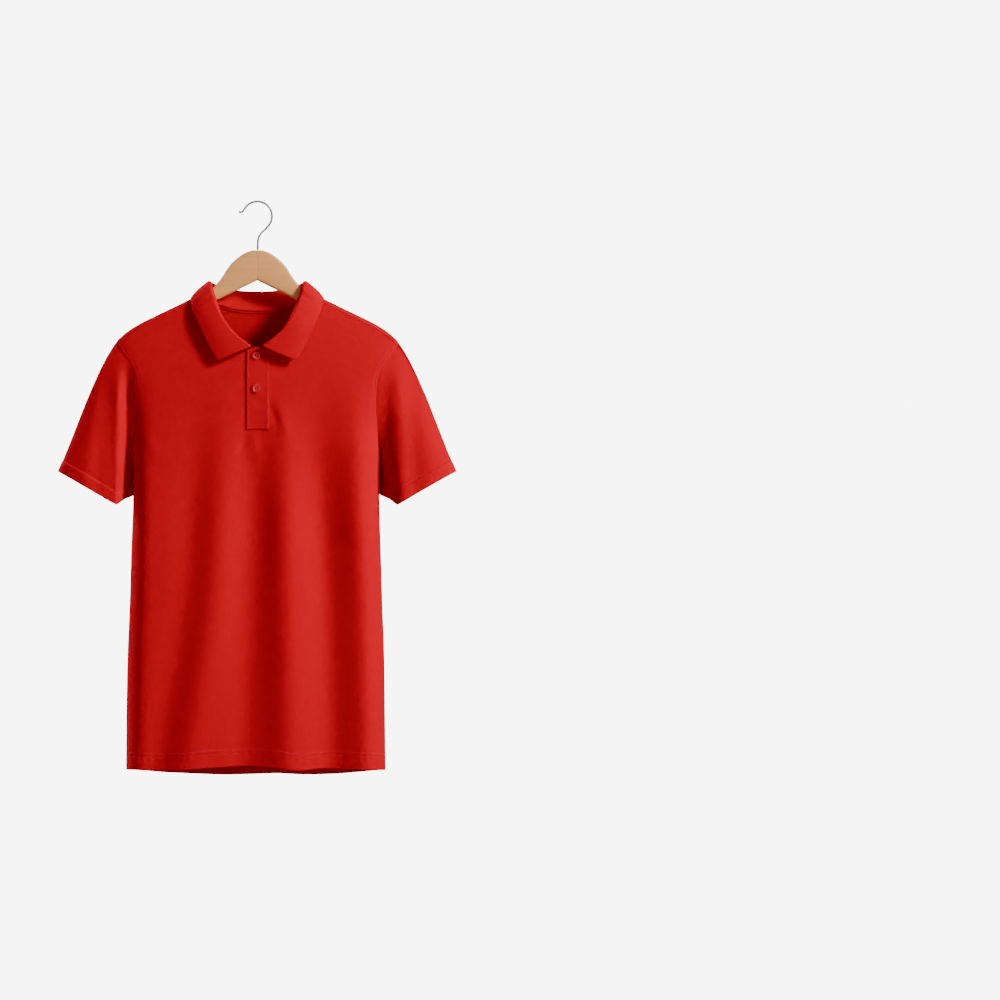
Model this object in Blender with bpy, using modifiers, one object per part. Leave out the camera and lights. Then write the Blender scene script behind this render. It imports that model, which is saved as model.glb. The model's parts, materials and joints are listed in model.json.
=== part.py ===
"""A polo shirt as it hangs on a plain wooden hanger.

Metres, +Z up. The front of the shirt faces -Y and the wearer's left is +X. The origin is the
point inside the top of the hook where a rail carries it. Each cloth piece is a sheet of points
worked out from the garment's own outline, made a wall by Solidify.
"""

import math
from collections import namedtuple

import bpy
import numpy as np

# Cloth
CLOTH = 0.0012
RIB = 0.0018
PLACKET_CLOTH = 0.0016
TAPE_CLOTH = 0.0008
SEAM_GAP = 0.0003
SELVEDGE = 0.0012

# Shoulders: the cloth bends over the hanger's arms, and the shoulder seams lie in front of the ridge
RIDGE_RADIUS = 0.0085
SEAM_ANGLE = math.radians(80)
RIDGE_ARC = RIDGE_RADIUS * math.pi / 2
SHOULDER_TIP = 0.2127
NECK_SIDE = 0.082

# Depth of the body from its middle plane to the front or the back
CHEST_DEPTH = 0.032
HEM_DEPTH = 0.040
DEPTH_REACH = 0.100
SECTION_POWER = 2.4
CHEST_POWER = 2.2
CHEST_POWER_START = -0.650
SHOULDER_POWER = 6.0
SHOULDER_POWER_REACH = 0.050
SIDE_POWER = 0.55

# Heights of the garment
HEM = -0.861
ARMPIT = -0.372
TOP_BLEND_START = -0.470
BOTTOM_BLEND_END = -0.780
FOLDS_START = -0.270
FOLDS_FULL = -0.440

# Grid of a panel, for one half across and from hem to shoulder
SIDE_ROWS = 11
ARM_ROWS = (-0.367, -0.358, -0.345, -0.327, -0.305, -0.283, -0.263, -0.246, -0.231)
RIDGE_ROWS = 5
SHOULDER_COLUMNS = 8
NECK_SHARE = 0.44

# Placket
PLACKET_LEFT = -0.0157
PLACKET_RIGHT = 0.0184
PLACKET_BOTTOM = -0.345
PLACKET_TOP = -0.2195
PLACKET_TOP_AT_COLLAR = -0.2230
PLACKET_LAP = 0.003
SLOT_PAST_NECK = 0.02
PLACKET_TOP_HALF_WIDTH = 0.0045
PLACKET_TOP_ROUND = 0.0040
PLACKET_COLUMNS = 7
PLACKET_ROWS = 10

# Buttons
BUTTON_HEIGHTS = (-0.2325, -0.283)
BUTTON_X = -0.0006
BUTTON_RADIUS = 0.0060
BUTTON_THICKNESS = 0.0026
BUTTON_DISH = 0.0008
BUTTON_RIM = 0.0013
BUTTON_HOLE_RADIUS = 0.0008
BUTTON_HOLE_OFFSET = 0.0014

# Collar
FOLD_RADIUS = 0.0019
STAND_STEPS = 3
FOLD_STEPS = 4
LEAF_STEPS = 7
LEAF_ARCH = 0.0022
LEAF_CLEARANCE = 0.0020
STAND_CLEARANCE = 0.0011

# Neck tape
TAPE_WIDTH = 0.006
TAPE_END = 0.072

# Sleeves
SLEEVE_ROWS = 11
SLEEVE_END_OUTER = (0.2964, 0.0, -0.3935)
SLEEVE_END_INNER = (0.1915, 0.006, -0.4425)
SLEEVE_DEPTH_OUTER = 0.022
SLEEVE_DEPTH_INNER = 0.034
SLEEVE_RING_POWER = 3.0
SLEEVE_TILT = 0.35
SLEEVE_SHEAR = 0.6
SLEEVE_SEAM_ROOM = 0.0005
SLEEVE_AXIS = (0.400, 0.0, -0.9165)
CUFF_DEPTH = 0.0166
CUFF_PROUD = 0.0006
SLEEVE_START_PULL = 0.75
SLEEVE_END_PULL = 0.80
UNDERARM_EASE = 0.7
INNER_UPRIGHT = 0.9

# Hanger
WOOD_THICKNESS = 0.0104
WOOD_CORNER = 0.0045
WOOD_CORNER_STEPS = 3
WOOD_FLAT = 0.0005
WOOD_GAP = 0.0013
WOOD_NECK_END = 0.0775
WOOD_NECK_EASE = 0.0030
WOOD_EASE_REACH = 0.020
DOME_END_SLOPE = 0.85
ARM_END = 0.186
ARM_END_RADIUS = 0.0085
ARM_END_SHARES = (0.0, 0.4, 0.7, 0.9, 1.0)
HANGER_NECK_SECTIONS = 15
UNDERSIDE_APEX = -0.1184
UNDERSIDE_SLOPE = 0.49
WIRE_RADIUS = 0.00175
HOOK_RADIUS = 0.0224
HOOK_START_ANGLE = math.radians(-38)
HOOK_END_ANGLE = math.radians(150)
HOOK_ARC_STEPS = 22

# Colours
RED = (0.62, 0.01, 0.02)
WOOD_COLOUR = (0.72, 0.45, 0.22)
STEEL_COLOUR = (0.35, 0.35, 0.36)

Ridge = namedtuple("Ridge", "x z")
RIDGE = (
    Ridge(0.0000, -0.1100),
    Ridge(0.0300, -0.1135),
    Ridge(0.0600, -0.1265),
    Ridge(0.0820, -0.1370),
    Ridge(0.1056, -0.1482),
    Ridge(0.1240, -0.1573),
    Ridge(0.1430, -0.1664),
    Ridge(0.1620, -0.1756),
    Ridge(0.1800, -0.1847),
    Ridge(0.1945, -0.1938),
    Ridge(0.2060, -0.2029),
    Ridge(0.2150, -0.2120),
    Ridge(0.2196, -0.2210),
)

# fullness is the share of the body's depth that the section still has at its side: none at a side seam
Side = namedtuple("Side", "z left right fullness")
SIDES = (
    Side(-0.880, 0.1995, 0.1955, 0.00),
    Side(-0.770, 0.1990, 0.1945, 0.00),
    Side(-0.690, 0.1975, 0.1935, 0.00),
    Side(-0.604, 0.1940, 0.1905, 0.00),
    Side(-0.520, 0.1915, 0.1880, 0.00),
    Side(-0.458, 0.1890, 0.1860, 0.00),
    Side(-0.400, 0.1886, 0.1862, 0.00),
    Side(-0.372, 0.1886, 0.1864, 0.00),
    Side(-0.367, 0.1876, 0.1856, 0.15),
    Side(-0.358, 0.1858, 0.1842, 0.29),
    Side(-0.345, 0.1838, 0.1826, 0.42),
    Side(-0.327, 0.1824, 0.1814, 0.55),
    Side(-0.300, 0.1820, 0.1812, 0.70),
    Side(-0.272, 0.1832, 0.1828, 0.80),
    Side(-0.256, 0.1872, 0.1870, 0.83),
    Side(-0.244, 0.1935, 0.1935, 0.82),
    Side(-0.232, 0.2030, 0.2030, 0.76),
    Side(-0.218, 0.2127, 0.2127, 0.62),
    Side(-0.100, 0.2127, 0.2127, 0.62),
)

# The neckline, from the middle to the neck side: across, and height along the cloth
Neckline = namedtuple("Neckline", "x front back")
NECKLINE = (
    Neckline(0.0000, -0.2215, -0.1672),
    Neckline(0.0085, -0.2213, -0.1670),
    Neckline(0.0250, -0.2145, -0.1660),
    Neckline(0.0430, -0.2005, -0.1630),
    Neckline(0.0600, -0.1790, -0.1570),
    Neckline(0.0740, -0.1590, -0.1480),
    Neckline(0.0775, -0.1535, -0.1412),
    Neckline(0.0800, -0.1485, -0.1355),
    Neckline(0.0820, -0.1440, -0.1252),
)

# Hem heights across the shirt, from the wearer's right side seam to the left one
Hem = namedtuple("Hem", "x front back")
HEMS = (
    Hem(-0.200, -0.8610, -0.8620),
    Hem(-0.140, -0.8625, -0.8670),
    Hem(-0.060, -0.8575, -0.8705),
    Hem(-0.015, -0.8555, -0.8700),
    Hem(0.030, -0.8580, -0.8690),
    Hem(0.062, -0.8620, -0.8705),
    Hem(0.100, -0.8590, -0.8700),
    Hem(0.150, -0.8605, -0.8670),
    Hem(0.196, -0.8625, -0.8620),
)

# Folds that run down the body: where each one is at three heights, its half width and its rise
FOLD_HEIGHTS = (-0.860, -0.600, -0.350)
Fold = namedtuple("Fold", "low middle high width rise")
FRONT_FOLDS = (
    Fold(-0.172, -0.168, -0.160, 0.022, 0.0018),
    Fold(-0.137, -0.127, -0.115, 0.030, -0.0034),
    Fold(-0.086, -0.062, -0.040, 0.027, 0.0044),
    Fold(-0.018, -0.010, -0.002, 0.026, -0.0036),
    Fold(0.048, 0.043, 0.034, 0.024, 0.0050),
    Fold(0.106, 0.098, 0.072, 0.028, -0.0036),
    Fold(0.162, 0.152, 0.126, 0.024, 0.0036),
)
BACK_FOLDS = (
    Fold(-0.170, -0.168, -0.160, 0.022, 0.0024),
    Fold(-0.135, -0.128, -0.122, 0.024, -0.0030),
    Fold(-0.100, -0.088, -0.080, 0.026, 0.0038),
    Fold(-0.034, -0.026, -0.022, 0.028, -0.0036),
    Fold(0.046, 0.030, 0.020, 0.026, 0.0042),
    Fold(0.108, 0.100, 0.090, 0.028, -0.0030),
    Fold(0.156, 0.150, 0.142, 0.024, 0.0028),
)

# One half of the collar, a row for each place round the neckline from centre front to centre back
Station = namedtuple("Station", "fold_x fold_y fold_z edge_x edge_y edge_z")
COLLAR = (
    Station(0.0095, -0.0335, -0.2175, 0.0590, -0.0330, -0.2410),
    Station(0.0245, -0.0335, -0.2070, 0.0700, -0.0320, -0.2235),
    Station(0.0405, -0.0315, -0.1915, 0.0785, -0.0300, -0.2065),
    Station(0.0545, -0.0265, -0.1685, 0.0870, -0.0270, -0.1885),
    Station(0.0630, -0.0190, -0.1460, 0.0955, -0.0210, -0.1690),
    Station(0.0660, -0.0155, -0.1375, 0.0975, -0.0175, -0.1620),
    Station(0.0685, -0.0125, -0.1295, 0.0995, -0.0148, -0.1550),
    Station(0.0702, -0.0075, -0.1230, 0.1012, -0.0090, -0.1465),
    Station(0.0712, 0.0000, -0.1195, 0.1018, 0.0000, -0.1422),
    Station(0.0710, 0.0060, -0.1195, 0.1005, 0.0082, -0.1455),
    Station(0.0692, 0.0110, -0.1212, 0.0965, 0.0145, -0.1525),
    Station(0.0610, 0.0160, -0.1255, 0.0860, 0.0210, -0.1600),
    Station(0.0460, 0.0200, -0.1305, 0.0640, 0.0262, -0.1670),
    Station(0.0270, 0.0220, -0.1340, 0.0375, 0.0290, -0.1715),
    Station(0.0090, 0.0228, -0.1352, 0.0120, 0.0300, -0.1728),
    Station(0.0000, 0.0229, -0.1353, 0.0000, 0.0300, -0.1730),
)

# Upper outline of the hanger's middle, from the hook to where the arms go under the collar
Wood = namedtuple("Wood", "x z")
WOOD_DOME = (
    Wood(0.0000, -0.0720),
    Wood(0.0090, -0.0728),
    Wood(0.0170, -0.0755),
    Wood(0.0250, -0.0800),
    Wood(0.0330, -0.0862),
    Wood(0.0410, -0.0940),
    Wood(0.0470, -0.1020),
    Wood(0.0525, -0.1110),
    Wood(0.0590, -0.1200),
    Wood(0.0665, -0.1275),
)

# The wire below its round stretch, down to the wood, and its free end
Wire = namedtuple("Wire", "x z")
HOOK_SHANK = (
    Wire(0.0128, -0.0400),
    Wire(0.0062, -0.0460),
    Wire(0.0024, -0.0520),
    Wire(0.0009, -0.0580),
    Wire(0.0008, -0.0650),
    Wire(0.0008, -0.0716),
)
HOOK_TIP = (Wire(-0.0222, -0.0136), Wire(-0.0252, -0.0148), Wire(-0.0283, -0.0138))


def clear_scene():
    for obj in list(bpy.data.objects):
        bpy.data.objects.remove(obj)


def column(table, name):
    return np.array([getattr(row, name) for row in table])


def smooth(at, keys, values):
    """A curve with no corners through a table's points, read at any places."""
    slopes = np.gradient(values, keys)
    left = np.clip(np.searchsorted(keys, at) - 1, 0, len(keys) - 2)
    span = keys[left + 1] - keys[left]
    t = np.clip((at - keys[left]) / span, 0, 1)
    return (
        values[left] * (1 + 2 * t) * (1 - t) ** 2
        + values[left + 1] * t**2 * (3 - 2 * t)
        + span * slopes[left] * t * (1 - t) ** 2
        - span * slopes[left + 1] * t**2 * (1 - t)
    )


def ramp(at, start, end):
    """0 before start, 1 after end, with no corner between."""
    t = np.clip((at - start) / (end - start), 0, 1)
    return t * t * (3 - 2 * t)


def ridge(x):
    """Height of the shoulder line, which carries on over the neck as if there were no hole."""
    return smooth(np.abs(x), column(RIDGE, "x"), column(RIDGE, "z"))


def side_x(sign, z):
    """How far out the body reaches at a height: the side seam, and the armhole above it."""
    left = smooth(z, column(SIDES, "z"), column(SIDES, "left"))
    right = smooth(z, column(SIDES, "z"), column(SIDES, "right"))
    return np.where(sign < 0, left, right)


def fullness(z):
    return np.maximum(smooth(z, column(SIDES, "z"), column(SIDES, "fullness")), 0)


def full_depth(drop, z):
    """Depth in the middle of a section, from how far it lies below the ridge."""
    widest = CHEST_DEPTH + (HEM_DEPTH - CHEST_DEPTH) * ramp(z, ARMPIT, HEM)
    below = np.maximum(drop - RIDGE_RADIUS, 0)
    return RIDGE_RADIUS + (widest - RIDGE_RADIUS) * (1 - np.exp(-below / DEPTH_REACH))


def section_share(x, z, drop):
    """Share of the depth that is left at x: 1 in the middle, less towards the sides."""
    power = SECTION_POWER + CHEST_POWER * ramp(z, CHEST_POWER_START, ARMPIT)
    power = power + SHOULDER_POWER * np.exp(-np.maximum(drop, 0) / SHOULDER_POWER_REACH)
    across = np.clip(np.abs(x) / side_x(x, z), 0, 1) ** power
    at_side = fullness(z) ** (1 / SIDE_POWER)
    return np.maximum(1 - across * (1 - at_side), 0) ** SIDE_POWER


def fold_rise(folds, x, z):
    rise = np.zeros_like(x)
    heights = np.array(FOLD_HEIGHTS)
    for fold in folds:
        middle = smooth(z, heights, np.array([fold.low, fold.middle, fold.high]))
        rise += fold.rise * np.exp(-(((x - middle) / fold.width) ** 2))
    away_from_side = 1 - np.clip(np.abs(x) / side_x(x, z), 0, 1) ** 6
    return rise * away_from_side * ramp(-z, -FOLDS_START, -FOLDS_FULL)


def front_y(x, z):
    """The outside of the front panel."""
    drop = ridge(x) - z
    in_bend = np.clip(drop / RIDGE_RADIUS, 0, 1)
    depth = np.where(
        drop < RIDGE_RADIUS,
        RIDGE_RADIUS * np.sqrt(1 - (1 - in_bend) ** 2),
        full_depth(drop, z),
    )
    seam = (SELVEDGE + SEAM_GAP / 2) * (1 - fullness(z))
    return -(seam + depth * section_share(x, z, drop) + fold_rise(FRONT_FOLDS, x, z))


def back_point(x, s):
    """The outside of the back panel, where s is the height along the cloth as if the bend over
    the ridge were laid out flat."""
    along = ridge(x) - s
    angle = np.clip(along / RIDGE_RADIUS, -math.pi / 2, math.pi / 2)
    straight = np.maximum(along - RIDGE_ARC, 0)
    z = ridge(x) - RIDGE_RADIUS * (1 - np.cos(angle)) - straight
    depth = np.where(
        straight > 0, full_depth(RIDGE_RADIUS + straight, z), RIDGE_RADIUS * np.sin(angle)
    )
    seam = (SELVEDGE + SEAM_GAP / 2) * (1 - fullness(z))
    y = seam + depth * section_share(x, z, ridge(x) - z) + fold_rise(BACK_FOLDS, x, z)
    return x, y, z


def laid_out(z):
    """The height along the cloth of a point of the back panel below the bend."""
    return z + RIDGE_RADIUS - RIDGE_ARC


def column_shares():
    """Places of a panel's columns: signed shares from -1 at one side to 1 at the other."""
    neck = np.linspace(0, NECK_SHARE, len(NECKLINE))
    shoulder = np.linspace(NECK_SHARE, 1, SHOULDER_COLUMNS + 1)[1:]
    half = np.concatenate([neck, shoulder])
    return np.concatenate([-half[:0:-1], half])


def top_x(share):
    """Where a column meets the panel's upper edge: first round the neck, then along the shoulder."""
    size = np.abs(share)
    stations = np.linspace(0, NECK_SHARE, len(NECKLINE))
    in_neck = smooth(size, stations, column(NECKLINE, "x"))
    along = (size - NECK_SHARE) / (1 - NECK_SHARE)
    on_shoulder = NECK_SIDE + (SHOULDER_TIP - NECK_SIDE) * np.sin(along * math.pi / 2)
    return np.sign(share) * np.where(size <= NECK_SHARE, in_neck, on_shoulder)


def top_height(share, face):
    """Height of the panel's upper edge, along the cloth for the back."""
    size = np.abs(share)
    stations = np.linspace(0, NECK_SHARE, len(NECKLINE))
    neck = smooth(size, stations, column(NECKLINE, face))
    crest = ridge(top_x(share))
    seam_drop = RIDGE_RADIUS * (1 - math.cos(SEAM_ANGLE)) + 2 * SEAM_GAP
    past_ridge = RIDGE_RADIUS * SEAM_ANGLE - 2 * SEAM_GAP
    shoulder = crest - seam_drop if face == "front" else crest + past_ridge
    return np.where(size < NECK_SHARE, neck, shoulder)


def panel_points(face):
    """Points of the front or the back, a row for each height from the hem up."""
    shares = column_shares()
    share = np.concatenate([shares[:1], shares, shares[-1:]])
    sign = np.where(share < 0, -1.0, 1.0)
    heights = np.concatenate([np.linspace(HEM, ARMPIT, SIDE_ROWS + 1), ARM_ROWS])
    crest = ridge(np.array(SHOULDER_TIP))
    if face == "front":
        edge = np.append(heights, crest - RIDGE_RADIUS * (1 - math.cos(SEAM_ANGLE)) - 2 * SEAM_GAP)
        edge_z = edge
    else:
        bend = np.linspace(RIDGE_ARC, 2 * SEAM_GAP - RIDGE_RADIUS * SEAM_ANGLE, RIDGE_ROWS + 1)
        edge = np.concatenate([laid_out(heights), crest - bend])
        edge_z = np.concatenate([heights, np.full(RIDGE_ROWS + 1, crest - RIDGE_RADIUS)])
    rows = []
    for height, z_there in zip(edge, edge_z):
        reach = side_x(sign, np.full_like(share, z_there))
        to_top = ramp(height, TOP_BLEND_START, edge[-1])
        to_hem = 1 - ramp(height, edge[0], BOTTOM_BLEND_END)
        x = sign * reach * np.sin(np.abs(share) * math.pi / 2)
        top_reach = sign * SHOULDER_TIP * np.sin(np.abs(share) * math.pi / 2)
        x = x + to_top * (top_x(share) - top_reach)
        hem = smooth(x, column(HEMS, "x"), column(HEMS, face))
        hem = hem if face == "front" else laid_out(hem)
        level = height + to_top * (top_height(share, face) - edge[-1]) + to_hem * (hem - edge[0])
        rows.append(panel_row(face, x, level, z_there))
    return np.array(rows)


def panel_row(face, x, level, z_there):
    """One row of a panel. Its two outer columns are a narrow strip along the side, so that the
    wall's edge is square to the seam."""
    full = fullness(z_there)
    inset = SELVEDGE * min(1.0, 2 * full)
    x = x.copy()
    x[1] += inset
    x[-2] -= inset
    if face == "front":
        y, z = front_y(x, level), level
    else:
        x, y, z = back_point(x, level)
    if full == 0:
        y = y.copy()
        y[[0, -1]] = (-1 if face == "front" else 1) * SEAM_GAP / 2
    return np.stack([x, y, z], axis=1)


def sheet_object(name, points, thickness, colour, offset=-1.0, ring=False):
    """A wall through a grid of points: rows of equal length, each row closed on itself if ring."""
    rows, count = points.shape[:2]
    spans = count if ring else count - 1
    faces = [
        (
            row * count + place,
            row * count + (place + 1) % count,
            (row + 1) * count + (place + 1) % count,
            (row + 1) * count + place,
        )
        for row in range(rows - 1)
        for place in range(spans)
    ]
    mesh = bpy.data.meshes.new(name)
    mesh.from_pydata(points.reshape(-1, 3).tolist(), [], faces)
    mesh.shade_smooth()
    obj = bpy.data.objects.new(name, mesh)
    wall = obj.modifiers.new("Wall", "SOLIDIFY")
    wall.thickness = thickness
    wall.offset = offset
    wall.use_even_offset = True
    finish_object(obj, colour, 0.9, 0.0)
    return obj


def finish_object(obj, colour, roughness, metallic):
    material = bpy.data.materials.new(obj.name)
    material.use_nodes = True
    shader = material.node_tree.nodes["Principled BSDF"]
    shader.inputs["Base Color"].default_value = (*colour, 1)
    shader.inputs["Roughness"].default_value = roughness
    shader.inputs["Metallic"].default_value = metallic
    obj.data.materials.clear()
    obj.data.materials.append(material)
    PARTS.objects.link(obj)


def new_collection(name):
    collection = bpy.data.collections.new(name)
    bpy.context.scene.collection.children.link(collection)
    return collection


def as_cutter(obj):
    obj.hide_render = True
    obj.display_type = "WIRE"
    for collection in list(obj.users_collection):
        collection.objects.unlink(obj)
    CUTTERS.objects.link(obj)


def make_panels():
    front_points = panel_points("front")
    back_points = panel_points("back")
    front = sheet_object("front", front_points, CLOTH, RED)
    sheet_object("back", back_points[:, ::-1], CLOTH, RED)
    cut_slot(front)
    return front_points, back_points


def cut_slot(front):
    """The opening that the placket closes, open at the neck."""
    left = PLACKET_LEFT + PLACKET_LAP
    right = PLACKET_RIGHT - PLACKET_LAP
    bottom = PLACKET_BOTTOM + PLACKET_LAP
    top = PLACKET_TOP + SLOT_PAST_NECK
    bpy.ops.mesh.primitive_cube_add(size=1)
    cutter = bpy.context.object
    cutter.name = "slot_cutter"
    cutter.location = ((left + right) / 2, -CHEST_DEPTH, (bottom + top) / 2)
    cutter.scale = (right - left, CHEST_DEPTH, top - bottom)
    as_cutter(cutter)
    cut = front.modifiers.new("Slot", "BOOLEAN")
    cut.operation = "DIFFERENCE"
    cut.object = cutter


def armhole_ring(front_points, back_points, sign):
    """The armhole's edge all round, from the shoulder seam up over the ridge, down the back to
    the armpit and up the front."""
    edge = 0 if sign < 0 else -1
    armpit = SIDE_ROWS
    back = back_points[armpit + 1 :, edge][::-1]
    bottom = (front_points[armpit, edge] + back_points[armpit, edge]) / 2
    front = front_points[armpit + 1 :, edge]
    ridge_part = back[: RIDGE_ROWS // 2 + 1]
    return np.concatenate([back[len(ridge_part) - 1 :], [bottom], front, ridge_part[1:-1]])


def ring_shares(ring):
    """How far round the ring each point is, 0 at its first point and 0.5 at its lowest."""
    steps = np.linalg.norm(np.diff(np.vstack([ring, ring[:1]]), axis=0), axis=1)
    along = np.concatenate([[0], np.cumsum(steps)])
    lowest = int(np.argmin(ring[:, 2]))
    return np.interp(along[:-1], [0, along[lowest], along[-1]], [0, 0.5, 1])


def sleeve_end(share, sign):
    """The sleeve's lower ring, from its outer fold round the back to the inner fold and back
    round the front."""
    turn = share * 2 * math.pi
    across = (1 - np.cos(turn)) / 2
    outer = np.array(SLEEVE_END_OUTER)
    inner = np.array(SLEEVE_END_INNER)
    x = outer[0] + across * (inner[0] - outer[0])
    z = outer[2] + across * (inner[2] - outer[2])
    widest = SLEEVE_DEPTH_OUTER + (SLEEVE_DEPTH_INNER - SLEEVE_DEPTH_OUTER) * across
    round_off = np.sqrt(np.clip(1 - np.abs(2 * across - 1) ** SLEEVE_RING_POWER, 0, 1))
    y = np.sign(np.sin(turn)) * widest * round_off + inner[1] * across**3
    x = x - SLEEVE_SHEAR * y * across**6
    return np.stack([sign * x, y, z + SLEEVE_TILT * y * across], axis=1)


def sleeve_start_pull(share, sign):
    """Direction in which the sleeve leaves the armhole: down the arm at the top, straight out at
    the armpit."""
    low = (1 - np.cos(share * 2 * math.pi)) / 2
    out = 0.62 + 0.33 * low
    down = -0.78 + 0.64 * low**2
    back = 0.30 * low**4 + 0.10 * np.sin(share * 2 * math.pi)
    pull = np.stack([sign * out, back, down], axis=1)
    return pull / np.linalg.norm(pull, axis=1)[:, None]


def sleeve_axis(share, sign):
    """Direction of the sleeve's end: along the arm outside, nearly straight down at the body."""
    low = (1 - np.cos(share * 2 * math.pi)) / 2
    out = SLEEVE_AXIS[0] * (1 - INNER_UPRIGHT * low**3)
    axis = np.stack([sign * out, np.zeros_like(out), np.full_like(out, SLEEVE_AXIS[2])], axis=1)
    return axis / np.linalg.norm(axis, axis=1)[:, None]


def sleeve_points(ring, sign):
    share = ring_shares(ring)
    start_pull = sleeve_start_pull(share, sign)
    axis = sleeve_axis(share, sign)
    start = ring + start_pull * SLEEVE_SEAM_ROOM
    end = sleeve_end(share, sign) - axis * SEAM_GAP
    low = (1 - np.cos(share * 2 * math.pi)) / 2
    reach = np.linalg.norm(end - start, axis=1)[:, None]
    start_reach = reach * (SLEEVE_START_PULL * (1 - UNDERARM_EASE * low**4))[:, None]
    rows = []
    for t in np.linspace(0, 1, SLEEVE_ROWS + 1) ** 1.3:
        rows.append(
            start * (1 + 2 * t) * (1 - t) ** 2
            + end * t**2 * (3 - 2 * t)
            + start_pull * start_reach * t * (1 - t) ** 2
            - axis * SLEEVE_END_PULL * reach * t**2 * (1 - t)
        )
    return np.array(rows)


def outward_of_ring(ring):
    """Unit directions away from the middle of a closed ring."""
    away = ring - ring.mean(axis=0)
    return away / np.linalg.norm(away, axis=1)[:, None]


def cuff_points(share, sign):
    axis = sleeve_axis(share, sign)
    ring = sleeve_end(share, sign)
    ring = ring + outward_of_ring(ring) * CUFF_PROUD
    steps = (SEAM_GAP, CUFF_DEPTH / 2, CUFF_DEPTH)
    return np.array([ring + axis * step for step in steps])


def make_sleeves(front_points, back_points):
    for sign, name in ((1, "left"), (-1, "right")):
        ring = armhole_ring(front_points, back_points, sign)
        sleeve = sleeve_points(ring, sign)
        cuff = cuff_points(ring_shares(ring), sign)
        if sign > 0:
            sleeve, cuff = sleeve[:, ::-1], cuff[:, ::-1]
        sheet_object(f"sleeve_{name}", sleeve, CLOTH, RED, ring=True)
        sheet_object(f"cuff_{name}", cuff, RIB, RED, ring=True)


def body_clearance(x, z):
    """Least distance of the collar's leaf from the middle plane, where the body is below it."""
    drop = ridge(x) - z
    inside = np.clip(drop / RIDGE_RADIUS, 0, 1)
    in_bend = RIDGE_RADIUS * np.sqrt(1 - (1 - inside) ** 2)
    depth = np.where(drop < RIDGE_RADIUS, in_bend, full_depth(drop, z))
    return np.where(drop > 0, depth * section_share(x, z, drop) + LEAF_CLEARANCE, 0)


def neckline_stations():
    """The neckline's points on one half, from centre front round to centre back."""
    stations = np.linspace(0, NECK_SHARE, len(NECKLINE))
    x = top_x(stations)
    front_z = column(NECKLINE, "front")
    front = np.stack([x, front_y(x, front_z) + CLOTH / 2, front_z], axis=1)
    back_x, back_y, back_z = back_point(x, column(NECKLINE, "back"))
    back = np.stack([back_x, back_y - CLOTH / 2, back_z], axis=1)
    return np.concatenate([front[1:], back[-2::-1]])


def collar_section(seam, fold, edge, outward):
    """One section of the collar: up the stand, over the fold and down the leaf."""
    up = np.array([0.0, 0.0, 1.0])
    centre = fold - up * FOLD_RADIUS
    stand_top = centre - outward * FOLD_RADIUS
    rise = stand_top - seam
    seam = seam + rise / np.linalg.norm(rise) * STAND_CLEARANCE
    stand = [seam + (stand_top - seam) * step / STAND_STEPS for step in range(STAND_STEPS)]
    bend = [
        centre + FOLD_RADIUS * (up * math.sin(angle) - outward * math.cos(angle))
        for angle in np.linspace(0, math.pi, FOLD_STEPS + 1)
    ]
    leaf = []
    for step in range(1, LEAF_STEPS + 1):
        share = step / LEAF_STEPS
        point = bend[-1] + (edge - bend[-1]) * share
        point = point + outward * LEAF_ARCH * math.sin(math.pi * share)
        least = float(body_clearance(point[0], point[2]))
        if abs(point[1]) < least and least > 0:
            point[1] = math.copysign(least, edge[1])
        leaf.append(point)
    return np.array(stand + bend + leaf)


def collar_points():
    seams = neckline_stations()
    folds = np.stack([column(COLLAR, f"fold_{axis}") for axis in "xyz"], axis=1)
    edges = np.stack([column(COLLAR, f"edge_{axis}") for axis in "xyz"], axis=1)
    mirror = np.array([-1.0, 1.0, 1.0])
    seams = np.concatenate([seams[:-1], (seams * mirror)[::-1]])
    folds = np.concatenate([folds[:-1], (folds * mirror)[::-1]])
    edges = np.concatenate([edges[:-1], (edges * mirror)[::-1]])
    along = np.gradient(folds, axis=0)
    outward = np.stack([along[:, 1], -along[:, 0], np.zeros(len(folds))], axis=1)
    outward /= np.linalg.norm(outward, axis=1)[:, None]
    return np.array([collar_section(*station) for station in zip(seams, folds, edges, outward)])


def make_collar():
    sheet_object("collar", collar_points(), RIB, RED, offset=0.0)


def make_neck_tape():
    """A strip inside the back, just below the collar seam."""
    share = np.linspace(-NECK_SHARE, NECK_SHARE, 2 * len(NECKLINE) + 3)
    top = top_height(share, "back")
    x = np.clip(top_x(share), -TAPE_END, TAPE_END)
    top = np.minimum(top, np.interp(TAPE_END, column(NECKLINE, "x"), column(NECKLINE, "back")))
    rows = []
    for below in (SEAM_GAP, TAPE_WIDTH / 2, TAPE_WIDTH):
        px, py, pz = back_point(x, top - below)
        rows.append(np.stack([px, py - CLOTH - SEAM_GAP, pz], axis=1))
    points = np.array(rows)[:, 1:-1]
    sheet_object("neck_tape", points, TAPE_CLOTH, RED)


def placket_grid(moved_out, top_edge):
    """Points over the placket's place, moved out from the front panel."""
    x = np.linspace(PLACKET_LEFT, PLACKET_RIGHT, PLACKET_COLUMNS + 1)
    top = top_edge(x)
    rows = []
    for share in np.linspace(0, 1, PLACKET_ROWS + 1):
        z = PLACKET_BOTTOM + (top - PLACKET_BOTTOM) * share
        rows.append(np.stack([x, front_y(x, z) - moved_out, z], axis=1))
    return np.array(rows)


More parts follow.
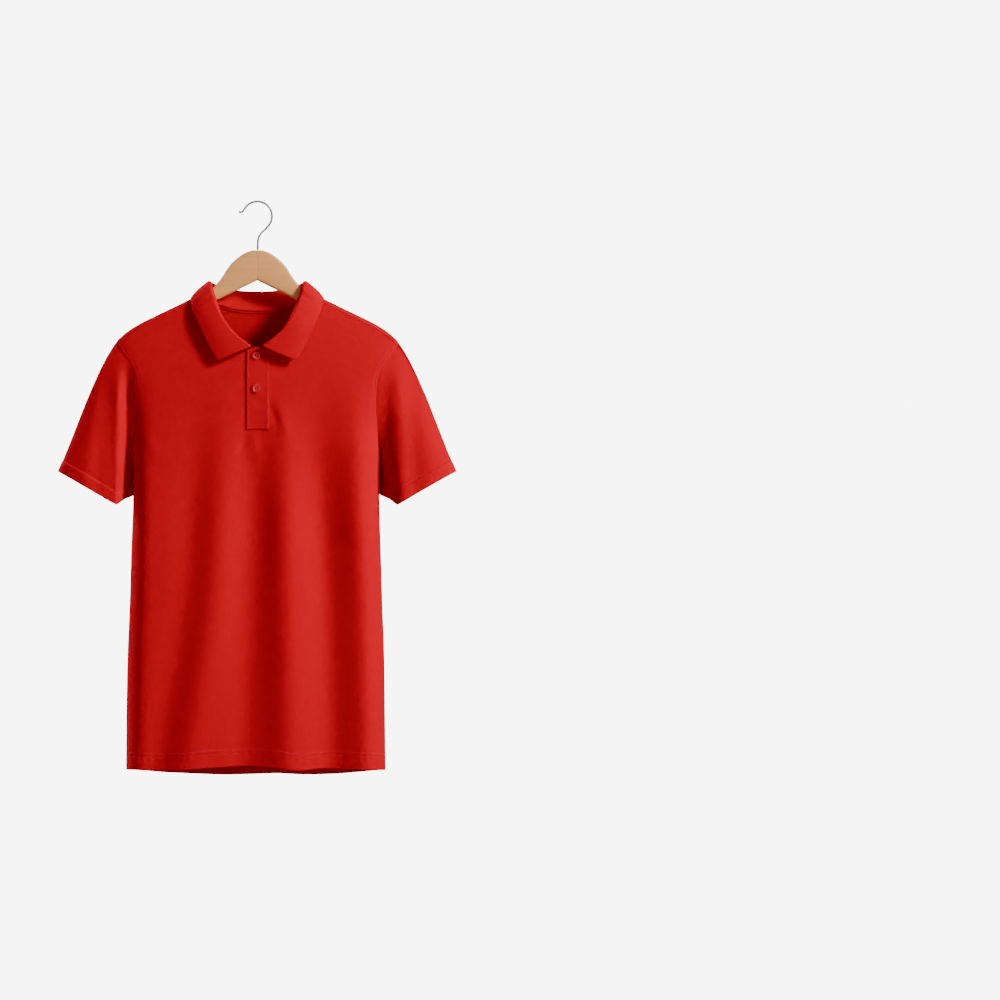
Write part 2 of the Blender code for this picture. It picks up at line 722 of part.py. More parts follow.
def make_placket():
    def top_edge(x):
        beside = np.abs(x) - PLACKET_TOP_HALF_WIDTH
        under_collar = ramp(beside, 0, PLACKET_TOP_ROUND)
        return PLACKET_TOP + (PLACKET_TOP_AT_COLLAR - PLACKET_TOP) * under_collar

    def under_edge(x):
        return np.full_like(x, PLACKET_TOP_AT_COLLAR)

    top = placket_grid(PLACKET_CLOTH + SEAM_GAP, top_edge)
    sheet_object("placket_top", top, PLACKET_CLOTH, RED)
    under = placket_grid(-CLOTH - SEAM_GAP, under_edge)
    sheet_object("placket_under", under, PLACKET_CLOTH, RED)


def make_button(name, z):
    """A turned disc with a raised rim and four holes, facing the front."""
    half = BUTTON_THICKNESS / 2
    profile = (
        (0.0, half - BUTTON_DISH),
        (BUTTON_RADIUS - 2 * BUTTON_RIM, half - BUTTON_DISH),
        (BUTTON_RADIUS - BUTTON_RIM, half),
        (BUTTON_RADIUS - BUTTON_RIM / 2, half),
        (BUTTON_RADIUS, half / 2),
        (BUTTON_RADIUS, -half / 2),
        (BUTTON_RADIUS - BUTTON_RIM / 2, -half),
        (0.0, -half),
    )
    mesh = bpy.data.meshes.new(name)
    edges = [(i, i + 1) for i in range(len(profile) - 1)]
    mesh.from_pydata([(x, 0.0, height) for x, height in profile], edges, [])
    obj = bpy.data.objects.new(name, mesh)
    turned = obj.modifiers.new("Turned", "SCREW")
    turned.steps = 20
    turned.render_steps = 20
    turned.use_merge_vertices = True
    turned.merge_threshold = 0.00005
    for index in range(4):
        angle = math.radians(45 + 90 * index)
        drill = bpy.ops.mesh.primitive_cylinder_add
        drill(vertices=8, radius=BUTTON_HOLE_RADIUS, depth=4 * BUTTON_THICKNESS)
        cutter = bpy.context.object
        cutter.name = f"{name}_hole_{index + 1}"
        reach = BUTTON_HOLE_OFFSET
        cutter.location = (reach * math.cos(angle), reach * math.sin(angle), 0)
        cutter.parent = obj
        as_cutter(cutter)
        hole = obj.modifiers.new(f"Hole {index + 1}", "BOOLEAN")
        hole.operation = "DIFFERENCE"
        hole.object = cutter
    finish_object(obj, RED, 0.4, 0.0)
    face = placket_face(BUTTON_X, z)
    obj.rotation_euler = (math.pi / 2, 0, 0)
    obj.location = (BUTTON_X, face - SEAM_GAP - half - button_tilt_room(z), z)


def placket_face(x, z):
    """The outside of the top placket."""
    at_x, at_z = np.array([x]), np.array([z])
    return float(front_y(at_x, at_z)[0]) - PLACKET_CLOTH - SEAM_GAP


def button_tilt_room(z):
    """How far the placket comes forward within a button's radius."""
    ends = (placket_face(BUTTON_X, z + step * BUTTON_RADIUS) for step in (-1, 1))
    return max(placket_face(BUTTON_X, z) - end for end in ends)


def hanger_section(x):
    """Top and underside of the hanger at a distance from its middle."""
    under_cloth = (CLOTH + WOOD_GAP) * math.hypot(1, UNDERSIDE_SLOPE)
    under_cloth += WOOD_NECK_EASE * (1 - float(ramp(x, NECK_SIDE, NECK_SIDE + WOOD_EASE_REACH)))
    dome_x, dome_z = column(WOOD_DOME, "x"), column(WOOD_DOME, "z")
    if x <= dome_x[-1]:
        top = float(smooth(np.array(x), dome_x, dome_z))
    else:
        blend = float(ramp(x, dome_x[-1], WOOD_NECK_END))
        straight = dome_z[-1] - (x - dome_x[-1]) * DOME_END_SLOPE
        top = straight + (float(ridge(np.array(x))) - under_cloth - straight) * blend
    underside = UNDERSIDE_APEX - UNDERSIDE_SLOPE * x
    past = max(x - (ARM_END - ARM_END_RADIUS), 0) / ARM_END_RADIUS
    middle, half = (top + underside) / 2, (top - underside) / 2
    half *= math.sqrt(max(1 - past**2, 0.04))
    return middle + half, middle - half


def hanger_ring(x):
    """A flat section with rounded corners, standing across the arm."""
    top, underside = hanger_section(abs(x))
    radius = min(WOOD_CORNER, (top - underside) / 2 - WOOD_FLAT)
    across = WOOD_THICKNESS / 2 - radius
    points = []
    for quarter in range(4):
        side = 1 if quarter in (0, 3) else -1
        end = top - radius if quarter in (0, 1) else underside + radius
        for step in range(WOOD_CORNER_STEPS + 1):
            angle = math.pi / 2 * (quarter + step / WOOD_CORNER_STEPS)
            points.append(
                (x, side * across + radius * math.cos(angle), end + radius * math.sin(angle))
            )
    return points


def make_hanger():
    columns = top_x(column_shares())
    round_end = ARM_END - ARM_END_RADIUS
    half = np.concatenate(
        [
            np.linspace(0, WOOD_NECK_END, HANGER_NECK_SECTIONS),
            columns[(columns > WOOD_NECK_END + SEAM_GAP) & (columns < round_end - SEAM_GAP)],
            round_end + ARM_END_RADIUS * np.array(ARM_END_SHARES),
        ]
    )
    places = np.concatenate([-half[:0:-1], half])
    rings = [hanger_ring(float(x)) for x in places]
    count = len(rings[0])
    faces = [
        (
            row * count + place,
            row * count + (place + 1) % count,
            (row + 1) * count + (place + 1) % count,
            (row + 1) * count + place,
        )
        for row in range(len(rings) - 1)
        for place in range(count)
    ]
    faces.append(tuple(range(count))[::-1])
    faces.append(tuple(range((len(rings) - 1) * count, len(rings) * count)))
    mesh = bpy.data.meshes.new("hanger")
    mesh.from_pydata([point for ring in rings for point in ring], [], faces)
    mesh.shade_smooth()
    finish_object(bpy.data.objects.new("hanger", mesh), WOOD_COLOUR, 0.5, 0.0)


def hook_route():
    """The wire's middle line from the wood up, round and out to its tip."""
    centre = (0.0, WIRE_RADIUS - HOOK_RADIUS)
    round_part = [
        (centre[0] + HOOK_RADIUS * math.cos(angle), centre[1] + HOOK_RADIUS * math.sin(angle))
        for angle in np.linspace(HOOK_START_ANGLE, HOOK_END_ANGLE, HOOK_ARC_STEPS)
    ]
    shank = [(row.x, row.z) for row in HOOK_SHANK[::-1]]
    return shank + round_part + [(row.x, row.z) for row in HOOK_TIP]


def make_hook():
    wire = bpy.data.curves.new("hanger_hook", "CURVE")
    wire.dimensions = "3D"
    wire.bevel_depth = WIRE_RADIUS
    wire.bevel_resolution = 2
    wire.use_fill_caps = True
    route = hook_route()
    spline = wire.splines.new("POLY")
    spline.points.add(len(route) - 1)
    for point, (x, z) in zip(spline.points, route):
        point.co = (x, 0, z, 1)
    obj = bpy.data.objects.new("hanger_hook", wire)
    finish_object(obj, STEEL_COLOUR, 0.3, 1.0)


clear_scene()
PARTS = new_collection("polo_shirt_on_hanger")
CUTTERS = new_collection("cutters")
panels = make_panels()
make_sleeves(*panels)
make_collar()
make_neck_tape()
make_placket()
for number, height in enumerate(BUTTON_HEIGHTS):
    make_button(f"button_{number + 1}", height)
make_hanger()
make_hook()
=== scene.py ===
"""Looks of a polo shirt on its hanger, in the part's own frame.

Metres, +Z up, the front faces -Y. The cloth pieces follow the same outlines and folds as the part's
solids, on a finer grid, and add seams, stitches, knit, creases and the finish of each material.
"""

import json
import math
from collections import namedtuple

import bpy
import numpy as np
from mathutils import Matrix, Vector

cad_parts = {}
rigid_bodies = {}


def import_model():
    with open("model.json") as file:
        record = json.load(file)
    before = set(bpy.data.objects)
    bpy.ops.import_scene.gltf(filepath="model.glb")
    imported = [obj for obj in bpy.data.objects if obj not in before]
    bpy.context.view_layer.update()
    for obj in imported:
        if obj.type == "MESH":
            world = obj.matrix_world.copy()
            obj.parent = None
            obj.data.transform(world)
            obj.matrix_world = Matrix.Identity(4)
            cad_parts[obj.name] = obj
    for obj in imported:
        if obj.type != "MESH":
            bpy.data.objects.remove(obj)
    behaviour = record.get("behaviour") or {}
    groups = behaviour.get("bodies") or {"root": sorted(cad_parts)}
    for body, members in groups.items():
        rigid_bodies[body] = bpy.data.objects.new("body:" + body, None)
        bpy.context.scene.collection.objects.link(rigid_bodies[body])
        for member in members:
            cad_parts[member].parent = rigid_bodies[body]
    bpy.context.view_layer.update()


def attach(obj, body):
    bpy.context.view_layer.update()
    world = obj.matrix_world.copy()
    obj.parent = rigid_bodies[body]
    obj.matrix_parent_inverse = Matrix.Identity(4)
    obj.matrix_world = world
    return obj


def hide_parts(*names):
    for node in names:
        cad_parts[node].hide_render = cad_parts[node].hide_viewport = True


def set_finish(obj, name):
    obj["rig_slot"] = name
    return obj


# Fineness of the visual grids
PANEL_COLUMNS = 221
HEM_ROWS = 34
SIDE_ROWS = 122
ARM_ROWS = 60
RIDGE_ROWS = 17
SLEEVE_ROWS = 70
CUFF_ROWS = 12
COLLAR_COLUMNS = 361
STAND_ROWS = 8
BEND_ROWS = 9
LEAF_ROWS = 26
PLACKET_COLUMNS = 31
PLACKET_ROWS = 81
TAPE_COLUMNS = 121
TAPE_ROWS = 9
BUTTON_SIDES = 48
HOLE_SIDES = 12
ARM_SECTIONS = 90
ARM_END_SECTIONS = 9
WOOD_CORNER_POINTS = 6
HOOK_POINTS = 60
WIRE_SIDES = 16
TINY = 1e-12

# Corners round each face of a wall: outside 0 or inside 1, and the steps of row and place
OUTER_FACE = ((0, 0, 0), (0, 0, 1), (0, 1, 1), (0, 1, 0))
INNER_FACE = ((1, 1, 0), (1, 1, 1), (1, 0, 1), (1, 0, 0))
LEVEL_RIM = ((0, 0, 0), (0, 0, 1), (1, 0, 1), (1, 0, 0))
UPRIGHT_RIM = ((0, 0, 0), (0, 1, 0), (1, 1, 0), (1, 0, 0))

# Where pieces go under each other at seams
SEAM_SINK = 0.0006
SEAM_ALLOWANCE = 0.003
CUFF_LAP = 0.002

# Sewing
STITCH_PITCH = 0.0030
STITCH_LENGTH = 0.0024
THREAD_RADIUS = 0.00032
GROOVE_DEPTH = 0.0004
GROOVE_WIDTH = 0.0010
HEM_REACH = 0.034
HEM_STITCHES = (0.020, 0.026)
HEM_PROUD = 0.0004
HEM_STEP = 0.003
HEM_RIPPLE = 0.0125
HEM_RIPPLE_DRIFT = 0.057
HEM_RIPPLE_WANDER = 2
HEM_RIPPLE_RISE = 0.00028
HEM_RIPPLE_REACH = 0.008
ARMHOLE_STITCH = 0.0050
SHOULDER_STITCH = 0.0035
SHOULDER_FREE_COLUMNS = 3
SIDE_GROOVE_WIDTH = 0.0016
SIDE_FLAT = 0.005
PLACKET_STITCH = 0.0022
PLACKET_BOX_STITCH = 0.0070
TAPE_STITCH = 0.0010
BUTTONHOLE_HALF = 0.0074
BUTTONHOLE_STITCHES = 22
BUTTONHOLE_WIDTH = 0.0019
BUTTONHOLE_SLIT = 0.0002

# A stitch along its length, as shares of its length and of the thread's radius
Thread = namedtuple("Thread", "along size rise")
STITCH_FORM = (
    Thread(0.00, 0.45, -0.80),
    Thread(0.22, 1.00, 0.35),
    Thread(0.78, 1.00, 0.35),
    Thread(1.00, 0.45, -0.80),
)

# Knits: pitch of the stitches across and up the cloth, their depth, and how the two waves join
CLOTH_MAP = "cloth size"
CLOTH_ROUGHNESS = 0.9
CLOTH_SPECULAR = 0.03
CLOTH_TONE_SCALE = 60.0
CLOTH_TONE_SPREAD = 0.06
RED = (0.56, 0.0, 0.0108)
Knit = namedtuple("Knit", "slot across up depth join")
KNITS = (
    Knit("pique", 0.0011, 0.0013, 0.00012, "MULTIPLY"),
    Knit("rib", 0.0014, 0.05, 0.00011, "ADD"),
    Knit("tape", 0.0007, 0.0012, 0.00008, "MULTIPLY"),
)

# Firm materials: two tones, roughness, metallic share and fineness of the grain along x, y and z
GRAIN_DETAIL = 6.0
THREAD_LOW = tuple(part * 0.95 for part in RED)
THREAD_HIGH = tuple(part * 1.15 for part in RED)
Firm = namedtuple("Firm", "slot name low high roughness metallic grain")
FIRM_MATERIALS = (
    Firm("buttons", "button plastic", (0.55, 0.003, 0.014), (0.62, 0.008, 0.020), 0.3, 0.0, (80, 80, 80)),
    Firm("wood", "beech", (0.74, 0.30, 0.075), (0.95, 0.45, 0.14), 0.5, 0.0, (9, 150, 150)),
    Firm("wire", "grey steel", (0.20, 0.20, 0.205), (0.34, 0.34, 0.35), 0.5, 0.35, (90, 90, 400)),
    Firm("thread", "thread", THREAD_LOW, THREAD_HIGH, 0.7, 0.0, (900, 900, 900)),
)
FLOOR_MATERIAL = Firm("floor", "floor", (0.86, 0.86, 0.86), (0.88, 0.88, 0.88), 0.9, 0.0, (1, 1, 1))

# Camera of the photo, light and surroundings
PICTURE_WIDTH = 1.52
LENS = 300.0
SENSOR = 36.0
VIEW_X = 0.369
VIEW_Z = -0.452
CLIP_END = 100
FLOOR = -2.3
FLOOR_NEAR = 15.0
FLOOR_FAR = 7.5
WORLD_STRENGTH = 0.10
BACKDROP_STRENGTH = 7.5
Backdrop = namedtuple("Backdrop", "direction edge")
BACKDROPS = (Backdrop((0.0, 1.0, 0.0), 0.975), Backdrop((-1.0, 0.0, 0.0), 0.985))
Lamp = namedtuple("Lamp", "name place aim size spread power")
LAMPS = (
    Lamp("key", (4.4, -2.6, 2.65), (0.0, 0.0, -0.45), 1.1, 30, 19.0),
    Lamp("fill", (-1.6, -3.8, 0.2), (0.0, 0.0, -0.45), 2.0, 60, 1.9),
    Lamp("key behind", (-4.2, 3.0, 2.65), (0.0, 0.0, -0.45), 1.1, 30, 14.0),
    Lamp("floor behind", (-3.4, 3.4, 2.0), (-3.4, 3.4, -2.3), 5.0, 120, 270.0),
    Lamp("floor in front", (5.2, -5.2, 2.0), (5.2, -5.2, -2.3), 5.0, 110, 350.0),
)

# Cloth
CLOTH = 0.0012
RIB = 0.0018
PLACKET_CLOTH = 0.0016
TAPE_CLOTH = 0.0008
SEAM_GAP = 0.0003

# Shoulders: the cloth bends over the hanger's arms, and the shoulder seams lie in front of the ridge
RIDGE_RADIUS = 0.0085
SEAM_ANGLE = math.radians(80)
RIDGE_ARC = RIDGE_RADIUS * math.pi / 2
SHOULDER_TIP = 0.2127
NECK_SIDE = 0.082

# Depth of the body from its middle plane to the front or the back
CHEST_DEPTH = 0.032
HEM_DEPTH = 0.040
DEPTH_REACH = 0.100
SECTION_POWER = 4.6
CHEST_POWER = 4.4
CHEST_POWER_START = -0.650
SHOULDER_POWER = 6.0
SHOULDER_POWER_REACH = 0.050
SIDE_POWER = 0.55

# Heights of the garment
HEM = -0.861
ARMPIT = -0.372
TOP_BLEND_START = -0.470
BOTTOM_BLEND_END = -0.780
FOLDS_START = -0.240
FOLDS_FULL = -0.520
FOLDS_SIDE_POWER = 10
CREASE_END = 0.3

# Share of a panel's columns that end at the neckline
NECK_SHARE = 0.44

# Placket
PLACKET_LEFT = -0.0157
PLACKET_RIGHT = 0.0184
PLACKET_BOTTOM = -0.345
PLACKET_TOP = -0.2195
PLACKET_TOP_AT_COLLAR = -0.2230
PLACKET_TOP_HALF_WIDTH = 0.0045
PLACKET_TOP_ROUND = 0.0040

# Buttons
BUTTON_HEIGHTS = (-0.2325, -0.283)
BUTTON_X = -0.0006
BUTTON_RADIUS = 0.0060
BUTTON_THICKNESS = 0.0026
BUTTON_DISH = 0.0011
BUTTON_RIM = 0.0013
BUTTON_EDGE = 0.85
BUTTON_HOLE_RADIUS = 0.0008
BUTTON_HOLE_OFFSET = 0.0014
BUTTON_SHARP = math.radians(40)

# Collar
FOLD_RADIUS = 0.0019
SIDE_FOLD_RADIUS = 0.0036
SIDE_FOLD_START = 0.028
SIDE_FOLD_FULL = 0.062
LEAF_ARCH = 0.0022
LEAF_CLEARANCE = 0.0020
LEAF_EASE = 0.005
LEAF_SOFTEN = 9
SOFTEN_SHIFTS = (-1.0, -0.5, 0.0, 0.5, 1.0)

# Neck tape
TAPE_WIDTH = 0.006
TAPE_END = 0.072

# Sleeves
SLEEVE_END_OUTER = (0.2964, 0.0, -0.3935)
SLEEVE_END_INNER = (0.1915, 0.006, -0.4425)
SLEEVE_DEPTH_OUTER = 0.022
SLEEVE_DEPTH_INNER = 0.034
SLEEVE_RING_POWER = 3.0
SLEEVE_TILT = 0.35
SLEEVE_SHEAR = 0.6
SLEEVE_INNER_RISE = 0.012
SLEEVE_RISE_START = 0.86
SLEEVE_BACK_POWER = 3
SLEEVE_SHEAR_POWER = 6
SLEEVE_AXIS = (0.400, 0.0, -0.9165)
CUFF_DEPTH = 0.0166
CUFF_PROUD = 0.0006
SLEEVE_START_PULL = 0.75
SLEEVE_END_PULL = 0.80
SLEEVE_ROW_SPREAD = 1.3
UNDERARM_EASE = 0.93
INNER_UPRIGHT = 0.9

# Direction in which a sleeve leaves the armhole, at its top and at the armpit
START_TOP_OUT = 0.62
START_TOP_UP = -0.78
START_LOW_OUT = 0.95
START_LOW_UP = -0.14
START_LOW_BACK = 0.30
START_SIDE_BACK = 0.10

# Hanger
WOOD_THICKNESS = 0.0104
WOOD_CORNER = 0.0045
WOOD_JOINT = 0.0004
WOOD_FLAT = 0.0005
WOOD_GAP = 0.0013
WOOD_NECK_END = 0.0775
WOOD_NECK_EASE = 0.0030
WOOD_EASE_REACH = 0.020
DOME_END_SLOPE = 0.85
ARM_END = 0.186
ARM_END_RADIUS = 0.0085
ARM_END_LEAST = 0.2
UNDERSIDE_APEX = -0.1184
UNDERSIDE_SLOPE = 0.49
WIRE_RADIUS = 0.00175
HOOK_RADIUS = 0.0224
HOOK_START_ANGLE = math.radians(-38)
HOOK_END_ANGLE = math.radians(150)

Point = namedtuple("Point", "x z")
RIDGE = (
    Point(0.0000, -0.1175),
    Point(0.0300, -0.1201),
    Point(0.0600, -0.1279),
    Point(0.0820, -0.1370),
    Point(0.1056, -0.1482),
    Point(0.1240, -0.1573),
    Point(0.1430, -0.1664),
    Point(0.1620, -0.1756),
    Point(0.1800, -0.1847),
    Point(0.1945, -0.1938),
    Point(0.2060, -0.2029),
    Point(0.2150, -0.2120),
    Point(0.2196, -0.2210),
)

# Reach of the body to either side, and the share of its depth that is left there: none at a side seam
Side = namedtuple("Side", "z left right fullness")
SIDES = (
    Side(-0.880, 0.1995, 0.1955, 0.00),
    Side(-0.770, 0.1990, 0.1945, 0.00),
    Side(-0.690, 0.1975, 0.1935, 0.00),
    Side(-0.604, 0.1940, 0.1905, 0.00),
    Side(-0.520, 0.1915, 0.1880, 0.00),
    Side(-0.458, 0.1890, 0.1860, 0.00),
    Side(-0.400, 0.1886, 0.1862, 0.00),
    Side(-0.372, 0.1886, 0.1864, 0.00),
    Side(-0.367, 0.1876, 0.1856, 0.15),
    Side(-0.358, 0.1858, 0.1842, 0.29),
    Side(-0.345, 0.1838, 0.1826, 0.42),
    Side(-0.327, 0.1824, 0.1814, 0.55),
    Side(-0.300, 0.1820, 0.1812, 0.70),
    Side(-0.272, 0.1832, 0.1828, 0.80),
    Side(-0.256, 0.1872, 0.1870, 0.83),
    Side(-0.244, 0.1935, 0.1935, 0.82),
    Side(-0.232, 0.2030, 0.2030, 0.76),
    Side(-0.218, 0.2127, 0.2127, 0.62),
    Side(-0.100, 0.2127, 0.2127, 0.62),
)

# The neckline, from the middle to the neck side: across, and height along the cloth
Across = namedtuple("Across", "x front back")
NECKLINE = (
    Across(0.0000, -0.2215, -0.1672),
    Across(0.0085, -0.2213, -0.1670),
    Across(0.0250, -0.2145, -0.1660),
    Across(0.0430, -0.2005, -0.1630),
    Across(0.0600, -0.1790, -0.1570),
    Across(0.0740, -0.1590, -0.1480),
    Across(0.0775, -0.1535, -0.1412),
    Across(0.0800, -0.1485, -0.1355),
    Across(0.0820, -0.1440, -0.1252),
)

# Hem heights across the shirt, from the wearer's right side seam to the left one
HEMS = (
    Across(-0.200, -0.8610, -0.8620),
    Across(-0.140, -0.8625, -0.8670),
    Across(-0.060, -0.8575, -0.8705),
    Across(-0.015, -0.8555, -0.8700),
    Across(0.030, -0.8580, -0.8690),
    Across(0.062, -0.8620, -0.8705),
    Across(0.100, -0.8590, -0.8700),
    Across(0.150, -0.8605, -0.8670),
    Across(0.196, -0.8625, -0.8620),
)

# Folds that run down the body: where each one is at three heights, its half width and its rise
FOLD_HEIGHTS = (-0.860, -0.600, -0.350)
Fold = namedtuple("Fold", "low middle high width rise")
FRONT_FOLDS = (
    Fold(-0.190, -0.181, -0.178, 0.025, 0.0092),
    Fold(-0.148, -0.108, -0.092, 0.026, -0.0056),
    Fold(-0.106, -0.066, -0.050, 0.028, 0.0062),
    Fold(-0.018, -0.010, -0.002, 0.030, -0.0082),
    Fold(0.048, 0.045, 0.040, 0.026, 0.0088),
    Fold(0.114, 0.107, 0.095, 0.028, -0.0118),
    Fold(0.176, 0.169, 0.155, 0.025, 0.0115),
)
BACK_FOLDS = (
    Fold(-0.172, -0.168, -0.160, 0.020, 0.0050),
    Fold(-0.137, -0.130, -0.122, 0.026, -0.0065),
    Fold(-0.100, -0.088, -0.080, 0.026, 0.0075),
    Fold(-0.034, -0.026, -0.022, 0.028, -0.0075),
    Fold(0.046, 0.030, 0.020, 0.026, 0.0085),
    Fold(0.108, 0.100, 0.090, 0.028, -0.0065),
    Fold(0.158, 0.152, 0.144, 0.024, 0.0060),
)

# Short soft creases: from and to, half width and rise
Crease = namedtuple("Crease", "x z end_x end_z width rise")
FRONT_CREASES = (
    Crease(0.0215, -0.3110, 0.0330, -0.3420, 0.0055, -0.0020),
    Crease(0.0330, -0.3060, 0.0480, -0.3650, 0.0090, 0.0016),
    Crease(-0.0160, -0.3520, -0.0260, -0.3900, 0.0070, -0.0014),
    Crease(-0.0040, -0.3500, 0.0020, -0.4050, 0.0080, 0.0014),
    Crease(-0.1740, -0.3550, -0.1420, -0.3900, 0.0080, 0.0012),
    Crease(0.1760, -0.3500, 0.1380, -0.3980, 0.0090, 0.0014),
)
BACK_CREASES = (
    Crease(-0.1560, -0.2500, -0.1120, -0.3300, 0.0120, 0.0022),
    Crease(-0.1250, -0.2450, -0.0820, -0.3050, 0.0120, -0.0018),
    Crease(0.1540, -0.2450, 0.1180, -0.3500, 0.0130, 0.0024),
    Crease(0.1200, -0.2350, 0.0860, -0.3000, 0.0120, -0.0018),
    Crease(0.1740, -0.3520, 0.1360, -0.4020, 0.0090, 0.0015),
    Crease(-0.1750, -0.3560, -0.1450, -0.4100, 0.0090, 0.0014),
)

# Folds down a sleeve: its side of the body, its front or back, places at the top and at the cuff
SleeveFold = namedtuple("SleeveFold", "sign face top bottom width rise")
SLEEVE_FOLDS = (
    SleeveFold(-1, -1, 0.2110, 0.2110, 0.0070, 0.0030),
    SleeveFold(-1, -1, 0.1965, 0.1975, 0.0085, -0.0110),
    SleeveFold(-1, -1, 0.2300, 0.2380, 0.0140, -0.0014),
    SleeveFold(-1, -1, 0.2420, 0.2600, 0.0120, 0.0016),
    SleeveFold(1, -1, 0.2150, 0.2200, 0.0100, 0.0022),
    SleeveFold(1, -1, 0.1970, 0.1960, 0.0085, -0.0022),
    SleeveFold(1, -1, 0.2350, 0.2420, 0.0120, -0.0018),
    SleeveFold(-1, 1, 0.1980, 0.2000, 0.0090, -0.0070),
    SleeveFold(-1, 1, 0.2200, 0.2340, 0.0120, 0.0026),
    SleeveFold(-1, 1, 0.2360, 0.2540, 0.0130, -0.0022),
    SleeveFold(1, 1, 0.1970, 0.2000, 0.0090, -0.0070),
    SleeveFold(1, 1, 0.2140, 0.2250, 0.0110, 0.0026),
    SleeveFold(1, 1, 0.2340, 0.2480, 0.0130, -0.0024),
)
SLEEVE_FOLD_TOP = 0.235
SLEEVE_FOLD_FULL = 0.300
SLEEVE_FOLD_BOTTOM = 0.450
SLEEVE_FOLD_TURN = 0.008
SLEEVE_FOLD_START = 0.010

# One half of the collar, a row for each place round the neckline from centre front to centre back
Station = namedtuple("Station", "fold_x fold_y fold_z edge_x edge_y edge_z")
COLLAR = (
    Station(0.0095, -0.0335, -0.2175, 0.0590, -0.0330, -0.2410),
    Station(0.0245, -0.0335, -0.2070, 0.0700, -0.0320, -0.2235),
    Station(0.0405, -0.0315, -0.1915, 0.0785, -0.0300, -0.2065),
    Station(0.0545, -0.0265, -0.1685, 0.0870, -0.0270, -0.1885),
    Station(0.0630, -0.0190, -0.1460, 0.0955, -0.0210, -0.1690),
    Station(0.0660, -0.0155, -0.1375, 0.0975, -0.0175, -0.1620),
    Station(0.0685, -0.0125, -0.1295, 0.0993, -0.0148, -0.1556),
    Station(0.0702, -0.0075, -0.1230, 0.1008, -0.0090, -0.1482),
    Station(0.0712, 0.0000, -0.1198, 0.1014, 0.0000, -0.1445),
    Station(0.0710, 0.0060, -0.1200, 0.1002, 0.0082, -0.1474),
    Station(0.0692, 0.0110, -0.1215, 0.0964, 0.0140, -0.1536),
    Station(0.0610, 0.0160, -0.1255, 0.0860, 0.0192, -0.1600),
    Station(0.0460, 0.0200, -0.1305, 0.0640, 0.0232, -0.1670),
    Station(0.0270, 0.0220, -0.1340, 0.0375, 0.0256, -0.1715),
    Station(0.0090, 0.0228, -0.1352, 0.0120, 0.0264, -0.1728),
    Station(0.0000, 0.0229, -0.1353, 0.0000, 0.0264, -0.1730),
)

# Upper outline of the hanger's middle, from the hook to where the arms go under the collar
WOOD_DOME = (
    Point(0.0000, -0.0720),
    Point(0.0090, -0.0728),
    Point(0.0170, -0.0755),
    Point(0.0250, -0.0800),
    Point(0.0330, -0.0862),
    Point(0.0410, -0.0940),
    Point(0.0470, -0.1020),
    Point(0.0525, -0.1110),
    Point(0.0590, -0.1200),
    Point(0.0665, -0.1275),
)

# The wire below its round stretch, down to the wood, and its free end
HOOK_SHANK = (
    Point(0.0128, -0.0400),
    Point(0.0062, -0.0460),
    Point(0.0024, -0.0520),
    Point(0.0009, -0.0580),
    Point(0.0008, -0.0650),
    Point(0.0008, -0.0716),
)
HOOK_TIP = (Point(-0.0222, -0.0136), Point(-0.0252, -0.0148), Point(-0.0283, -0.0138))


def column(table, name):
    return np.array([getattr(row, name) for row in table])


def between(start, end, start_slope, end_slope, t):
    """A curve from start to end that leaves and arrives along the given slopes."""
    return (
        start * (1 + 2 * t) * (1 - t) ** 2
        + end * t**2 * (3 - 2 * t)
        + start_slope * t * (1 - t) ** 2
        - end_slope * t**2 * (1 - t)
    )


def smooth(at, keys, values):
    """A curve with no corners through a table's points, read at any places."""
    slopes = np.gradient(values, keys)
    left = np.clip(np.searchsorted(keys, at) - 1, 0, len(keys) - 2)
    span = keys[left + 1] - keys[left]
    t = np.clip((at - keys[left]) / span, 0, 1)
    return between(values[left], values[left + 1], span * slopes[left], span * slopes[left + 1], t)


def read(table, key, name, at):
    """One column of a table, read at any places of its key column."""
    return smooth(at, column(table, key), column(table, name))


def read_points(at, along, points):
    """Points of a line, read at distances along it."""
    return np.stack([np.interp(at, along, points[:, axis]) for axis in range(3)], axis=-1)


def unit(vectors):
    """The same directions, each of length 1."""
    return vectors / np.maximum(np.linalg.norm(vectors, axis=-1, keepdims=True), TINY)


def ramp(at, start, end):
    """0 before start, 1 after end, with no corner between."""
    t = np.clip((at - start) / (end - start), 0, 1)
    return t * t * (3 - 2 * t)


def ridge(x):
    """Height of the shoulder line, which carries on over the neck as if there were no hole."""
    return read(RIDGE, "x", "z", np.abs(x))


def side_x(sign, z):
    """How far out the body reaches at a height: the side seam, and the armhole above it."""
    return np.where(sign < 0, read(SIDES, "z", "left", z), read(SIDES, "z", "right", z))


def fullness(z):
    return np.maximum(read(SIDES, "z", "fullness", z), 0)


def full_depth(drop, z):
    """Depth in the middle of a section, from how far it lies below the ridge."""
    widest = CHEST_DEPTH + (HEM_DEPTH - CHEST_DEPTH) * ramp(z, ARMPIT, HEM)
    below = np.maximum(drop - RIDGE_RADIUS, 0)
    return RIDGE_RADIUS + (widest - RIDGE_RADIUS) * (1 - np.exp(-below / DEPTH_REACH))


def section_share(x, z, drop):
    """Share of the depth that is left at x: 1 in the middle, less towards the sides."""
    power = SECTION_POWER + CHEST_POWER * ramp(z, CHEST_POWER_START, ARMPIT)
    power = power + SHOULDER_POWER * np.exp(-np.maximum(drop, 0) / SHOULDER_POWER_REACH)
    across = np.clip(np.abs(x) / side_x(x, z), 0, 1) ** power
    at_side = fullness(z) ** (1 / SIDE_POWER)
    return np.maximum(1 - across * (1 - at_side), 0) ** SIDE_POWER


